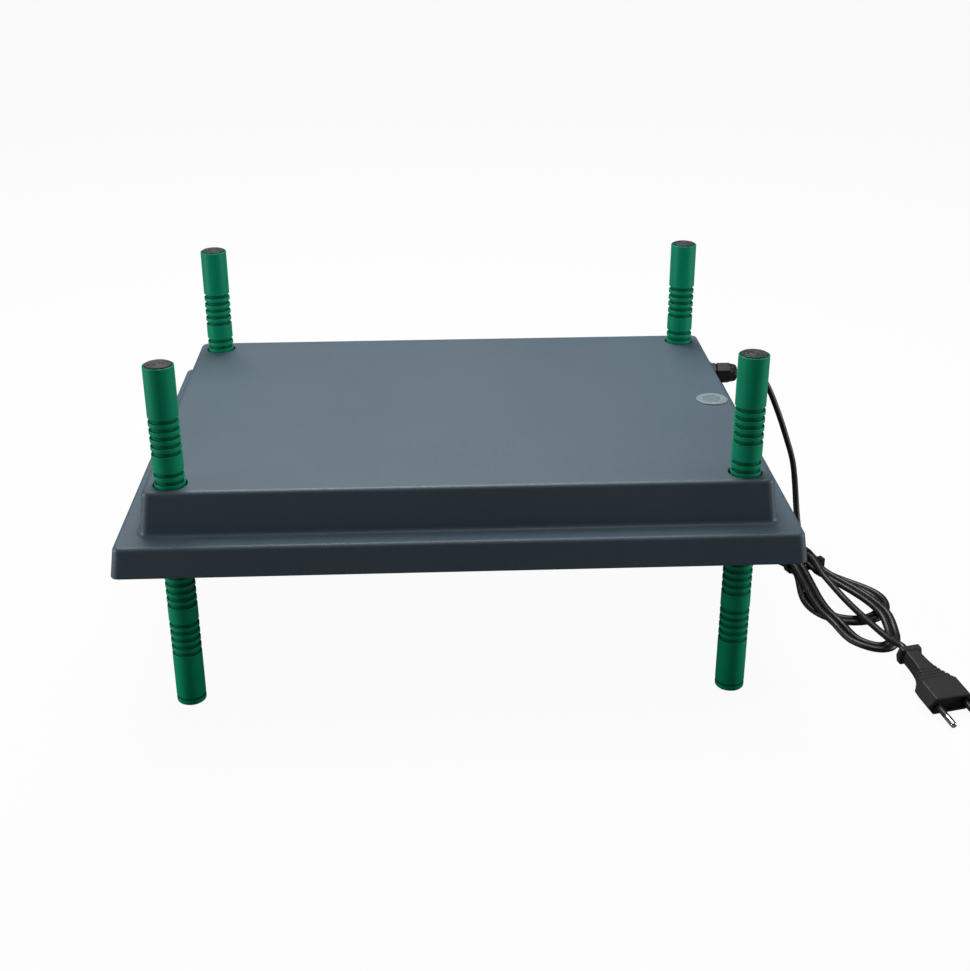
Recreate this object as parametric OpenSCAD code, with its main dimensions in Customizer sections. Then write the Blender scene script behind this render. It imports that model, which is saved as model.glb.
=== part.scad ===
// Electric brooder heater plate: a stepped plastic housing with a warm underside, carried on four
// grooved legs that slide through its corners, with a mains lead tied in a hank beside it.
// Millimetres. Origin on the floor under the middle of the plate, +X right, +Y back, +Z up.

/* [Housing] */
// Width of the skirt at its upper edge
housing_w = 400; // [380:1:440]
// Depth of the skirt at its upper edge
housing_d = 303; // [280:1:340]
// Height of the skirt
skirt_h = 18.5; // [18:0.5:24]
// Outward lean of the skirt's walls down to its lower edge
skirt_flare = 2; // [1:0.5:3]
// Height of the raised box above the skirt
box_h = 26.5; // [25:0.5:36]
// Step from the skirt to the foot of the raised box, left and right
step_x = 13.5; // [13:0.5:18]
// Step from the skirt to the foot of the raised box, front and back
step_y = 15.5; // [13:0.5:18]
// Inward lean of the raised box's walls
draft = 2.5; // [1.5:0.5:4]
// Wall thickness of the cover
wall = 2.5; // [2:0.1:3]
// Plan radius of the skirt's corners
skirt_corner_r = 5; // [4:0.5:8]
// Plan radius of the raised box's corners
box_corner_r = 5.5; // [4:0.5:8]
// Rounding of the upper edges
edge_r = 2.5; // [1.5:0.5:3.5]
// Bevel where the raised box meets the skirt
foot_bevel = 2.5; // [1:0.5:3.5]

/* [Base plate] */
// Height of the base plate above the skirt's lower edge
base_recess = 5; // [4:0.5:6]
// Thickness of the base plate
base_t = 3; // [2.5:0.1:4]
// Play between the base plate and the skirt
base_play = 0.4; // [0.3:0.1:1]
// Radius of a screw post
post_r = 3.5; // [3:0.1:4]
// Inset of the screw posts from the skirt's edge
post_inset = 10; // [9:0.5:12]
// Radius of a screw's shank
screw_r = 1.45; // [1.25:0.05:1.6]
// Length of a screw under its head
screw_len = 9; // [8:0.5:10]
// Radius of a screw's head
screw_head_r = 3; // [2.6:0.1:3.4]
// Height of a screw's head
screw_head_h = 1.8; // [1.4:0.1:2.4]
// Play around screws and pins in their holes
fit_play = 0.1; // [0.05:0.01:0.2]

/* [Legs] */
// Radius of a leg
leg_r = 9; // [8:0.05:9.5]
// Length of a leg with its foot
leg_len = 220; // [212:1:235]
// Radius of the bore of a leg
leg_bore_r = 6; // [5:0.1:6.5]
// Inset of the leg holes from the raised box's top edge, left and right
leg_inset_x = 15.5; // [13.5:0.5:20]
// Inset of the leg holes from the raised box's top edge, front and back
leg_inset_y = 13.5; // [13.5:0.5:20]
// Plain length above the first groove
leg_plain = 32; // [30:1:36]
// The groove that the plate hangs by, counted from the top
held_groove = 12; // [8:1:17]
// Spacing of the grooves in a group
groove_pitch = 5; // [4.8:0.1:5.4]
// Distance from one group of grooves to the next
group_pitch = 33; // [32:0.5:34]
// Radius of a groove's round section
groove_r = 1.25; // [1.1:0.05:1.35]
// Height of the foot under the leg
foot_h = 4.2; // [4:0.1:5]
// Length of the plugs of the cap and the foot in the leg
plug_depth = 9; // [6:0.5:14]
// Radius of the cap
cap_r = 7.8; // [7.2:0.1:8.3]
// Thickness of the cap
cap_t = 2; // [1.5:0.1:3]
// Height of the cap above the leg's rim
cap_rise = 0.7; // [0.3:0.1:1.2]

/* [Leg guides] */
// Gap between a leg and the hole in the cover
hole_gap = 1; // [0.8:0.1:1.5]
// Gap between a leg and its guide
guide_gap = 0.35; // [0.3:0.05:0.5]
// Wall of the guide tube
guide_wall = 1.2; // [1.2:0.1:1.6]
// Radius of the guide's collar
collar_r = 12.8; // [12.6:0.1:12.9]
// Height of the guide's collar above the base plate
collar_h = 11; // [10.5:0.5:13]
// Height of the snap ring above the base plate
snap_z = 7; // [6:0.5:8]
// Wire radius of the snap ring
snap_wire_r = 0.8; // [0.7:0.05:0.9]

/* [Heater] */
// Gap between the heat spreader and the collars of the leg guides
spreader_gap = 5.7; // [5:0.1:12]
// Inset of the heat spreader from the foot of the raised box, front and back
spreader_inset = 6; // [5:0.5:14]
// Thickness of the heat spreader
spreader_t = 1; // [0.5:0.1:1.5]
// Radius of the heating cord
heat_cord_r = 1.75; // [1.5:0.05:2]
// Runs of the heating cord
heat_runs = 10; // [6:2:12]
// Inset of the first and the last run from the heat spreader's edge
heat_edge = 13; // [11:1:16]
// Thickness of the insulation mat
mat_t = 10; // [6:1:12]
// Radius of the thermal cut-out's can
cutout_r = 8; // [7:0.5:8.5]
// Height of the thermal cut-out's can
cutout_h = 8; // [6:0.5:10]

/* [Wiring] */
// Radius of an inner wire
wire_r = 1.1; // [0.9:0.05:1.2]
// Length of the terminal block
block_l = 24; // [22:0.5:26]
// Width of the terminal block
block_w = 18; // [17:0.5:20]
// Height of the terminal block
block_h = 12; // [11:0.5:13]

/* [Pilot light] */
// Radius of the pilot lens
lens_r = 10.4; // [9.5:0.1:10.6]
// Radius of the lens's sunk window
lens_window_r = 6; // [5.8:0.1:6.4]
// Radius of the lens's stem
lens_stem_r = 5.5; // [5.2:0.1:5.6]
// Inset of the lens from the raised box's top edge
lens_inset = 13.5; // [11.2:0.1:14.5]
// Height of the lens's flange
lens_t = 1; // [0.8:0.1:1.4]

/* [Cable gland] */
// Distance of the gland in front of the rear legs
gland_from_leg = 29; // [28:1:36]
// Height of the gland above the skirt
gland_up = 11; // [11:0.5:14]
// Width across the flats of the gland's hexagons
gland_flats = 13.5; // [13:0.5:15]
// Radius of the gland's thread
gland_thread_r = 5.6; // [5.4:0.1:5.8]
// Length of the gland's collar
gland_collar_l = 5; // [4:0.5:6]
// Length of the gland's dome nut
gland_nut_l = 15.5; // [14:0.5:17]
// Length of the nut's round end
gland_dome_l = 5; // [4:0.5:6]

/* [Cord] */
// Diameter of the mains lead
cord_d = 4.4; // [4.2:0.05:4.5]
// Turns of the hank, in two layers
hank_turns = 4; // [2:2:4]
// Spacing of the hank's loops
hank_step = 5.2; // [5.2:0.05:5.4]
// Rise from one layer of the hank to the next
hank_rise = 4.95; // [4.95:0.05:5.2]
// Width of the tie round the hank
tie_w = 5; // [4:0.5:6]
// Thickness of the tie
tie_t = 1.2; // [1:0.1:1.3]

/* [Plug] */
// Width of the plug at its face
plug_w = 32; // [31:0.1:36]
// Thickness of the plug at its face
plug_t = 12.6; // [12.5:0.1:14]
// Length of the plug's body
plug_len = 53; // [50:1:58]
// Radius of a pin
pin_r = 2; // [1.9:0.05:2.1]
// Length of a pin
pin_len = 19; // [18:0.5:20]
// Distance between the pins
pin_pitch = 18.6; // [17.5:0.1:19.2]

/* [Hidden] */

$fn = 64;
hull_fn = 32;
cut = 0.5;

slate = "#5f6b75";
bottle_green = "#006b4c";
black = "#1c1c1e";
cap_grey = "#3c3b3f";
pale_grey = "#97a5aa";
steel = "#b8bbbe";
brown = "#6b4226";
blue = "#2f5f9e";

// The plate hangs by snap rings in the legs' grooves
groups = 5;
grooves_in_group = 5;
groove_depths = [for (g = [0 : groups - 1]) for (i = [0 : grooves_in_group - 1])
                 leg_plain + g * group_pitch + i * groove_pitch];
snap_level = leg_len - groove_depths[held_groove - 1];

// Levels, from the snap rings down to the skirt's lower edge and up again
deck_z = snap_level - snap_z;
base_z = deck_z - base_t;
skirt_z = base_z - base_recess;
skirt_top = skirt_z + skirt_h;
top_z = skirt_top + box_h;
ceiling_z = top_z - wall;
ledge_z = skirt_top - wall;
spreader_top = deck_z + spreader_t;
heat_cord_z = spreader_top + heat_cord_r;
mat_gap = 0.3;
mat_z = heat_cord_z + heat_cord_r + mat_gap;

// Plan sizes of the raised box
box_w = housing_w - 2 * step_x;
box_d = housing_d - 2 * step_y;
inner_edge_r = 1;
top_w = box_w - 2 * draft;
top_d = box_d - 2 * draft;

// Plan sizes of the base plate, inside the leaning skirt
base_out = skirt_flare * (1 - (base_recess + base_t) / skirt_h);
base_w = housing_w + 2 * (base_out - wall - base_play);
base_d = housing_d + 2 * (base_out - wall - base_play);

// Screw posts under the ledge
post_x = housing_w / 2 - post_inset;
post_y = housing_d / 2 - post_inset;
post_places = concat([for (x = [-1, -1 / 3, 1 / 3, 1]) for (y = [-1, 1]) [x * post_x, y * post_y]],
                     [for (x = [-1, 1]) [x * post_x, 0]]);
screw_hole_r = screw_r + fit_play;

// Legs, seen from the front: left is -X, front is -Y
leg_x = top_w / 2 - leg_inset_x;
leg_y = top_d / 2 - leg_inset_y;
leg_spots = [[-leg_x, -leg_y], [leg_x, -leg_y], [-leg_x, leg_y], [leg_x, leg_y]];
groove_out = 0.1;
leg_chamfer = 0.7;
foot_seam = 1;
foot_round_r = 1.4;
cap_rings = [cap_r - 5, cap_r - 2.3];
cap_ring_w = 0.5;
cap_ring_depth = 0.4;
guide_bore_r = leg_r + guide_gap;
guide_r = guide_bore_r + guide_wall;
cover_hole_r = leg_r + hole_gap;
base_hole_r = guide_r + 2 * fit_play;
snap_stand = 0.2;
snap_ring_r = leg_r + snap_stand;
snap_open = 60;
snap_room = 0.3;
recess_r = snap_ring_r + snap_wire_r + 3 * snap_room;

// Heat spreader between the legs, and on it the heating cord, in runs along X joined by half turns
spreader_w = 2 * (leg_x - collar_r - spreader_gap);
spreader_d = box_d - 2 * spreader_inset;
heat_pitch = (spreader_d - 2 * heat_edge) / (heat_runs - 1);
heat_bend = heat_pitch / 2;
heat_bend_steps = 6;
heat_end_gap = 7;
heat_run_x = spreader_w / 2 - heat_bend - heat_end_gap;
heat_first_y = heat_edge - spreader_d / 2;
sheet_corner = 4;
mat_inset = 3;

// Gland on the right wall, which has a flat pad on each side for it
gland_hex_r = gland_flats / 2 / cos(30);
locknut_t = 4;
locknut_r = (gland_flats + 2) / 2 / cos(30);
gland_pad_rim = 1;
gland_seat_r = locknut_r + gland_pad_rim;
wall_slope = draft / (box_h - edge_r);
gland_pad = wall_slope * gland_hex_r + fit_play;
gland_inner_pad = wall_slope * locknut_r + 2 * fit_play;
gland_y = leg_y - gland_from_leg;
gland_z = skirt_top + gland_up;
gland_seat_x = box_w / 2 - wall_slope * gland_up + gland_pad;
gland_inner_x = gland_seat_x - gland_pad - wall - gland_inner_pad;
gland_end_x = gland_seat_x + gland_collar_l + gland_nut_l;
gland_tail_l = 8;
gland_bore_r = 4;
gland_lip_r = cord_d / 2 + 0.5;
gland_lip_wall = 1.6;
gland_shoulder_l = gland_dome_l / 2;
gland_shoulder_r = gland_flats / 2 - 0.6;
gland_nut_gap = 0.3;
gland_nut_hex = gland_nut_l - gland_dome_l;
gland_nut_thread = gland_nut_hex - 1;
gland_seal_seat = 1;
gland_seal_l = gland_collar_l + gland_nut_hex + 1;

// Electrics bay at the right end of the raised box
cutout_inset = 25;
cutout_at = [spreader_w / 2 - cutout_inset, heat_first_y + heat_pitch * (heat_runs - 3.5)];
cutout_flange_h = 4.8;
cutout_flange_w = 1;
bay_w = 58;
bay_room = 24;
bay_x = spreader_w / 2 - bay_w;
bay_y = cutout_at.y - cutout_r - bay_room;
cord_strip = 1.5;
cord_in_x = gland_inner_x - gland_tail_l - cord_strip;
block_gap = 40;
block_shift = 4;
block_at = [cord_in_x - block_gap, gland_y + block_shift];
block_boss_h = 6;
block_boss_r = 4;
block_boss_floor = 1.5;
block_top = ceiling_z - block_boss_h;
wire_play = 0.4;
wire_hole_r = wire_r + wire_play;
wire_in = block_w / 2 - 2;
wire_drop = 0.5;
wire_z = block_top - block_h / 2 - wire_drop;
pole_y = 6;
clamp_x = block_w / 4;
clamp_screw_r = 1.2;
clamp_head_r = 1.8;
clamp_head_h = 1.6;
clamp_head_lap = 1;
clamp_l = 3.3;
clamp_gap = 0.3;
core_y = 1.15;
tab_x = 5;
tab_t = 0.8;
tab_w = 6.3;
tab_h = 9;
tab_reach = 0.3;
tab_mid = spreader_top + cutout_h + tab_h / 2;
lane_gap = 2;
edge_lane = spreader_w / 2 + lane_gap;
wire_bend = 8;

// Pilot light
lens_back = -2.5;
lens_at = [top_w / 2 - lens_inset, lens_back];
lens_stem_l = 9;
lens_wall = 1.1;
lens_bore_r = lens_stem_r - lens_wall;
lens_bevel = 0.5;
lens_sink = 0.4;
retainer_r = 8;
retainer_t = 1.2;
lamp_r = 2.5;
lamp_l = 5;
lamp_collar_t = 3;
lamp_z = top_z - lens_stem_l - lamp_collar_t / 2;
lamp_wire_r = 0.8;
lamp_wire_y = 1.6;
lamp_wire_x = 2.5;

// The hank lies on the floor: a runs along it from the waist to the front, b across it to the right
hank_beside = 51;
hank_before = 61;
hank_at = [housing_w / 2 + hank_beside, gland_y - hank_before];
hank_turn = 13.5;
hank_bend = 25;
bend_from = 10;
bend_to = -30;
waist_b = 12;
waist_run = 10.4;
fold_r = [29, 25];
fold_a = [55, 76];
fold_long = [1.05, 1.9];
loop_shift = [5, 0.5];
shift_from = 5;
shift_to = 60;
rear_fold_r = 23;
rear_fold_a = 58;
steps_a_turn = 24;
run_steps = 4;
fold_steps = 6;
rear_run_steps = 2.5;
rear_fold_steps = 5;
tie_gap = 0.45;
tie_head = [3.6, 6, 5.5];
waist_lift = tie_gap + tie_t + 0.1;
lift_reach = 14;
droop_from = 83;
droop_to = 105;
floor_gap = 0.05;
hank_start_a = 6;
hank_end_tau = hank_turns - rear_run_steps / steps_a_turn;

// Plug, in line with the hank
plug_rear_a = 142;
plug_b = 0.7;
plug_dip = 7;
plug_round = 1.2;
plug_flat_w = plug_w - 9.4;
// Sections from the rear: distance, width at mid-height, thickness, width of the flat top
plug_sections = [[0, 16.5, 11.5, 13.5], [4.6, 16.5, 11.5, 13.5], [5, 12.2, 9.6, 9], [17, 13.8, 10.4, 9.8],
    [26, 17.8, 11.2, 12.4], [32.5, 25.2, 12, 17.6], [36, plug_w - 0.4, plug_t - 0.1, plug_flat_w - 0.2],
    [plug_len, plug_w, plug_t, plug_flat_w]];
plug_hole = 10;
sleeve_len = 10;
core_pin_r = pin_r - 0.5;
pin_tip_l = 1;
pin_tip_r = pin_r - 0.8;
cord_r = cord_d / 2;
cord_sides = 8;
hank_sides = 6;

function unit(v) = v / norm(v);
function mix(p, q, t) = p + (q - p) * t;
function clamp01(t) = min(1, max(0, t));
function smooth(t) = let (c = clamp01(t)) c * c * (3 - 2 * c);

// Frames carried along a route, and the tube swept on them
function tangents(route) = [for (i = [0 : len(route) - 1])
    unit(route[min(i + 1, len(route) - 1)] - route[max(i - 1, 0)])];
function first_normal(t) = unit(cross(t, abs(t.z) < 0.9 ? [0, 0, 1] : [0, 1, 0]));
function normals(t) = [for (i = 0, n = first_normal(t[0]); i < len(t);
    n = i + 1 < len(t) ? unit(n - (n * t[i + 1]) * t[i + 1]) : n, i = i + 1) n];
function tube_points(route, r, sides) = let (t = tangents(route), n = normals(t))
    [for (i = [0 : len(route) - 1]) for (j = [0 : sides - 1])
        let (angle = 360 * j / sides) route[i] + r * (cos(angle) * n[i] + sin(angle) * cross(t[i], n[i]))];
function tube_faces(rings, sides) = concat(
    [for (j = [1 : sides - 2]) [0, j, j + 1]],
    [for (j = [1 : sides - 2]) let (o = (rings - 1) * sides) [o, o + j + 1, o + j]],
    [for (i = [0 : rings - 2]) for (j = [0 : sides - 1])
        let (a = i * sides + j, b = i * sides + (j + 1) % sides) [a, a + sides, b]],
    [for (i = [0 : rings - 2]) for (j = [0 : sides - 1])
        let (a = i * sides + j, b = i * sides + (j + 1) % sides) [b, a + sides, b + sides]]);
function curve(p0, p1, p2, p3, t) = 0.5 * ((2 * p1) + (p2 - p0) * t
    + (2 * p0 - 5 * p1 + 4 * p2 - p3) * t * t + (3 * p1 - p0 - 3 * p2 + p3) * t * t * t);
// A smooth line through a route's points, straight from the first to the second and at the far end
function rounded(p, cuts) = concat([p[0]],
    [for (i = [1 : len(p) - 3]) for (k = [0 : cuts - 1])
        curve(p[i - 1], p[i], p[i + 1], p[i + 2], k / cuts)],
    [p[len(p) - 2], p[len(p) - 1]]);
module tube(route, r, sides) {
    polyhedron(tube_points(route, r, sides), tube_faces(len(route), sides), convexity = 10);
}

// Hank: where a point a along and b across lies on the floor, round the bend behind the waist
function bend_angle(a) = hank_bend * clamp01((bend_from - a) / (bend_from - bend_to));
function axis_dir(angle) = [sin(hank_turn + angle), -cos(hank_turn + angle)];
function side_dir(angle) = [cos(hank_turn + angle), sin(hank_turn + angle)];
function arc_point(a) = let (r = (bend_from - bend_to) / (hank_bend * PI / 180), full = bend_angle(a))
    hank_at + axis_dir(0) * bend_from + r * (side_dir(full) - side_dir(0));
function axis_point(a) = a >= bend_from ? hank_at + axis_dir(0) * a
    : a >= bend_to ? arc_point(a) : arc_point(bend_to) + axis_dir(hank_bend) * (a - bend_to);
function on_floor(a, b, z) = let (p = axis_point(a) + side_dir(bend_angle(a)) * b) [p.x, p.y, z];

// One turn runs up the right side, round the front fold, down the left side and round the rear fold
function spread_b(a, fold_at, r, early) = let (t = clamp01((a - waist_run) / (fold_at - waist_run)))
    mix(waist_b, r, mix(smooth(t), sin(90 * t), early));
function turn_ab(s, inward, layer) = let (
        r = mix(fold_r[0], fold_r[1], layer), far = mix(fold_a[0], fold_a[1], layer),
        long_r = r * mix(fold_long[0], fold_long[1], layer),
        s1 = run_steps, s2 = s1 + fold_steps, s3 = s2 + run_steps,
        s4 = s3 + rear_run_steps, s5 = s4 + rear_fold_steps, s6 = s5 + rear_run_steps)
    s < s1 ? let (a = far * s / s1) [a, spread_b(a, far, r, 0.5) - inward]
    : s < s2 ? let (q = 90 - 180 * (s - s1) / fold_steps)
        [far + (long_r - inward) * cos(q), (r - inward) * sin(q)]
    : s < s3 ? let (a = far * (s3 - s) / run_steps) [a, inward - spread_b(a, far, r, 0.5)]
    : s < s4 ? let (a = rear_fold_a * (s - s3) / rear_run_steps)
        [-a, inward - spread_b(a, rear_fold_a, rear_fold_r, 0)]
    : s < s5 ? let (q = -90 + 180 * (s - s4) / rear_fold_steps)
        [-rear_fold_a - (rear_fold_r - inward) * cos(q), (rear_fold_r - inward) * sin(q)]
    : let (a = rear_fold_a * (s6 - s) / rear_run_steps)
        [-a, spread_b(a, rear_fold_a, rear_fold_r, 0) - inward];
function layer_at(tau) = smooth((tau - hank_turns / 2 + 0.1) / 0.1);
function inward_at(tau) = hank_step * min(tau, hank_turns - tau);
function floor_z(a) = cord_d / 2 + floor_gap + waist_lift * exp(-pow(a / lift_reach, 2));
function hank_z(a, layer) = floor_z(a)
    + hank_rise * layer * (1 - smooth((a - droop_from) / (droop_to - droop_from)));
function hank_abz(tau) = let (layer = layer_at(tau),
        p = turn_ab((tau - floor(tau)) * steps_a_turn, inward_at(tau), layer),
        move = smooth((p.x - shift_from) / (shift_to - shift_from)),
        shift = mix(loop_shift[0], loop_shift[1], layer) * move)
    [p.x, p.y + shift, hank_z(p.x, layer)];
function hank_point(tau) = let (p = hank_abz(tau)) on_floor(p.x, p.y, p.z);
hank_lead_in = [for (a = [hank_start_a, hank_start_a + cord_d]) on_floor(a, waist_b, floor_z(0))];
hank_rings = floor(hank_end_tau * steps_a_turn);
hank_last = hank_abz(hank_end_tau);
hank_end = on_floor(hank_last.x, hank_last.y, hank_last.z);
hank_out = on_floor(hank_last.x + cord_d, hank_last.y, hank_last.z);
function hank_route(cuts) = concat(hank_lead_in,
    [for (i = [cuts : hank_rings * cuts]) hank_point(i / cuts / steps_a_turn)], [hank_end, hank_out]);

// Lead from inside the gland, out over the edge and down to the floor, then under the tie; its shape is
// given beside the skirt, in front of the gland and as a share of the gland's height
lead_shape = [[22, 0, 0.985], [30.2, 0, 0.922], [39.8, 1, 0.763], [47.9, 2.5, 0.598], [53, 4, 0.477],
    [55.6, 6, 0.358], [57.6, 11, 0.19], [58.2, 19, 0.094], [58.5, 30, 0.045], [58.8, 41, 0.033]];
lead_straight = 2;
lead_route = concat([[cord_in_x, gland_y, gland_z], [gland_end_x + lead_straight, gland_y, gland_z]],
    [for (p = lead_shape) [housing_w / 2 + p.x, gland_y - p.y, gland_z * p.z]],
    [for (a = [-5, 0]) on_floor(a, waist_b, floor_z(0))],
    [on_floor(hank_start_a, waist_b, floor_z(0))]);

// Tail from the rear of the hank through the tie, over the loops and into the plug
plug_axis = concat(axis_dir(0) * cos(plug_dip), [-sin(plug_dip)]);
plug_face = concat(axis_dir(0) * (plug_rear_a + plug_len * cos(plug_dip)) + side_dir(0) * plug_b + hank_at,
    [plug_t / 2 * cos(plug_dip) + floor_gap]);
plug_rear = plug_face - plug_axis * plug_len;
tail_rise = floor_z(0) + 2 * hank_rise;
tail_b = 3;
tail_abz = [[-38, 19, 9.5], [-24, 11, 12.6], [-10, 4, tail_rise], [0, tail_b, tail_rise],
    [12, tail_b, tail_rise], [30, 0.5, 12.2], [45, 0.5, 10.4], [62, 0.5, 9], [81, 0, 9.2], [101, -0.2, 10],
    [121, 0, 11]];
tail_route = concat([hank_out, hank_out + unit(hank_out - hank_end) * cord_d],
    [for (p = tail_abz) on_floor(p[0], p[1], p[2])],
    [plug_rear - plug_axis * 6, plug_rear]);

// Least gap of the hank to itself, measured between points more than three diameters apart along it
gap_points = hank_route(2);
gap_skip = 4;
hank_gap = min([for (i = [0 : len(gap_points) - 1]) for (j = [i + gap_skip : 1 : len(gap_points) - 1])
    norm(gap_points[i] - gap_points[j])]) - cord_d;
function sum(v) = v * [for (x = v) 1];
function length_of(p) = sum([for (i = [1 : len(p) - 1]) norm(p[i] - p[i - 1])]);
inner_lead = norm(lead_route[1] - lead_route[0]);
cord_total = length_of(rounded(lead_route, 2)) - inner_lead
    + length_of(hank_route(2)) + length_of(rounded(tail_route, 2));
echo(hank_gap = hank_gap, cord_length = cord_total);

// Shapes shared by several pieces

// A block with round plan corners, narrowing to the top, with its upper edge rounded
module soft_block(w, d, h, lean, corner, edge) {
    hull() {
        for (x = [-1, 1]) for (y = [-1, 1]) {
            translate([x * (w / 2 - corner), y * (d / 2 - corner), 0])
                cylinder(r = corner, h = cut, $fn = hull_fn);
            translate([x * (w / 2 - lean - corner), y * (d / 2 - lean - corner), h - edge])
                rotate_extrude($fn = hull_fn) translate([corner - edge, 0]) circle(r = edge, $fn = hull_fn);
        }
    }
}

// A flat plate with round corners
module round_plate(w, d, h, corner) {
    linear_extrude(height = h) {
        square([w - 2 * corner, d], center = true);
        square([w, d - 2 * corner], center = true);
        for (x = [-1, 1]) for (y = [-1, 1])
            translate([x * (w / 2 - corner), y * (d / 2 - corner)]) circle(r = corner);
    }
}

// A ring or sleeve along Z
module sleeve(outer, inner, h) {
    difference() {
        cylinder(r = outer, h = h);
        translate([0, 0, -cut]) cylinder(r = inner, h = h + 2 * cut);
    }
}

// A pan-head screw, head down at z = 0 and shank upwards, with a cross slot
module pan_screw(r, l, head_r, head_h) {
    slot_w = head_r / 4;
    slot_l = head_r * 1.1;
    slot_depth = head_h * 0.6;
    crown_r = head_r * 0.8;
    difference() {
        union() {
            cylinder(r = r, h = l);
            translate([0, 0, -head_h]) cylinder(r1 = crown_r, r2 = head_r, h = head_h);
        }
        for (q = [0, 90]) rotate([0, 0, q])
            translate([-slot_l / 2, -slot_w / 2, -head_h - cut]) cube([slot_l, slot_w, cut + slot_depth]);
    }
}

// Along +X from a place, as for the gland
module along_x(x, y, z) {
    translate([x, y, z]) rotate([0, 90, 0]) children();
}

// The plug's own axes: x runs from its rear to its face
module at_plug() {
    translate(plug_rear) rotate([0, 0, hank_turn - 90]) rotate([0, plug_dip, 0]) children();
}

// Six-sided sections of the plug with their corners cut
function six_sided(s) = let (w = s[1] / 2, t = s[2] / 2, f = s[3] / 2)
    [[w, 0], [f, t], [-f, t], [-w, 0], [-f, -t], [f, -t]];
function cut_corners(p, size) = [for (i = [0 : len(p) - 1]) for (side = [len(p) - 1, 1])
    p[i] + unit(p[(i + side) % len(p)] - p[i]) * size];
plug_rings = [for (s = plug_sections) [for (p = cut_corners(six_sided(s), plug_round)) [s[0], p.x, p.y]]];
plug_points = [for (ring = plug_rings) each ring];

// At each of the plug's two pins, with +Z along it and z = 0 at the plug's face
module at_pins() {
    at_plug() for (y = [-1, 1]) translate([plug_len, y * pin_pitch / 2, 0]) rotate([0, 90, 0]) children();
}

// Housing

module top_cover() {
    color(slate) difference() {
        union() {
            difference() {
                union() {
                    translate([0, 0, skirt_z])
                        soft_block(housing_w + 2 * skirt_flare, housing_d + 2 * skirt_flare, skirt_h,
                                   skirt_flare, skirt_corner_r, edge_r);
                    translate([0, 0, skirt_top - cut])
                        soft_block(box_w, box_d, box_h + cut, draft, box_corner_r, edge_r);
                    translate([0, 0, skirt_top]) hull() {
                        for (lift = [0, 1]) translate([0, 0, -cut + lift * foot_bevel])
                            let (out = foot_bevel * (1 - lift))
                                round_plate(box_w + 2 * out, box_d + 2 * out, cut, box_corner_r + out,
                                            $fn = hull_fn);
                    }
                    along_x(gland_seat_x - wall, gland_y, gland_z)
                        cylinder(r = gland_hex_r + gland_pad_rim, h = wall);
                }
                translate([0, 0, skirt_z - cut])
                    soft_block(housing_w + 2 * (skirt_flare - wall), housing_d + 2 * (skirt_flare - wall),
                               skirt_h - wall + cut, skirt_flare, skirt_corner_r - wall / 2, inner_edge_r);
                translate([0, 0, ledge_z - cut])
                    soft_block(box_w - 2 * wall, box_d - 2 * wall, ceiling_z - ledge_z + cut, draft,
                               box_corner_r - wall / 2, inner_edge_r);
            }
            for (p = post_places) translate([p.x, p.y, deck_z])
                cylinder(r = post_r, h = ledge_z - deck_z + cut);
            translate([block_at.x, block_at.y, block_top])
                cylinder(r = block_boss_r, h = block_boss_h + cut);
            along_x(gland_inner_x, gland_y, gland_z) cylinder(r = gland_seat_r, h = wall);
        }
        for (p = leg_spots) translate([p.x, p.y, ceiling_z - cut])
            cylinder(r = cover_hole_r, h = wall + 2 * cut);
        for (p = post_places) translate([p.x, p.y, deck_z - cut])
            cylinder(r = screw_hole_r, h = screw_len - base_t + 2 * cut);
        translate([block_at.x, block_at.y, block_top - cut])
            cylinder(r = screw_hole_r, h = block_boss_h + cut);
        translate([lens_at.x, lens_at.y, ceiling_z - cut])
            cylinder(r = lens_stem_r + fit_play, h = wall + 2 * cut);
        along_x(gland_inner_x - cut, gland_y, gland_z)
            cylinder(r = gland_thread_r + fit_play, h = gland_seat_x - gland_inner_x + 2 * cut);
    }
}

module base_plate() {
    color(slate) difference() {
        translate([0, 0, base_z])
            round_plate(base_w, base_d, base_t, skirt_corner_r - wall / 2);
        for (p = leg_spots) translate([p.x, p.y, base_z - cut])
            cylinder(r = base_hole_r, h = base_t + 2 * cut);
        for (p = post_places) translate([p.x, p.y, base_z - cut])
            cylinder(r = screw_hole_r, h = base_t + 2 * cut);
    }
}

module base_screws() {
    color(steel) for (p = post_places) translate([p.x, p.y, base_z])
        pan_screw(screw_r, screw_len, screw_head_r, screw_head_h);
}

// Heater

module heat_spreader() {
    color(steel) translate([0, 0, deck_z]) round_plate(spreader_w, spreader_d, spreader_t, sheet_corner);
}

function heat_side(i) = i % 2 == 0 ? -1 : 1;
heat_route = concat([[heat_run_x, heat_first_y, heat_cord_z]],
    [for (i = [0 : heat_runs - 2]) for (k = [0 : heat_bend_steps])
        let (q = -90 + 180 * k / heat_bend_steps, middle = heat_first_y + heat_pitch * (i + 0.5))
        [heat_side(i) * (heat_run_x + heat_bend * cos(q)), middle + heat_bend * sin(q), heat_cord_z]],
    [[heat_run_x, -heat_first_y, heat_cord_z]]);
heat_start = heat_route[0];
heat_end = heat_route[len(heat_route) - 1];

module heating_cord() {
    color("#c9b08a") tube(heat_route, heat_cord_r, cord_sides);
}

module insulation_mat() {
    color("white") difference() {
        translate([0, 0, mat_z]) round_plate(spreader_w, spreader_d - 2 * mat_inset, mat_t, sheet_corner);
        translate([bay_x, bay_y, mat_z - cut]) cube([spreader_w, spreader_d, mat_t + 2 * cut]);
    }
}

module thermal_cutout() {
    color(black) translate([cutout_at.x, cutout_at.y, spreader_top]) {
        cylinder(r = cutout_r, h = cutout_flange_h);
        cylinder(r = cutout_r - cutout_flange_w, h = cutout_h);
    }
}

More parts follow.
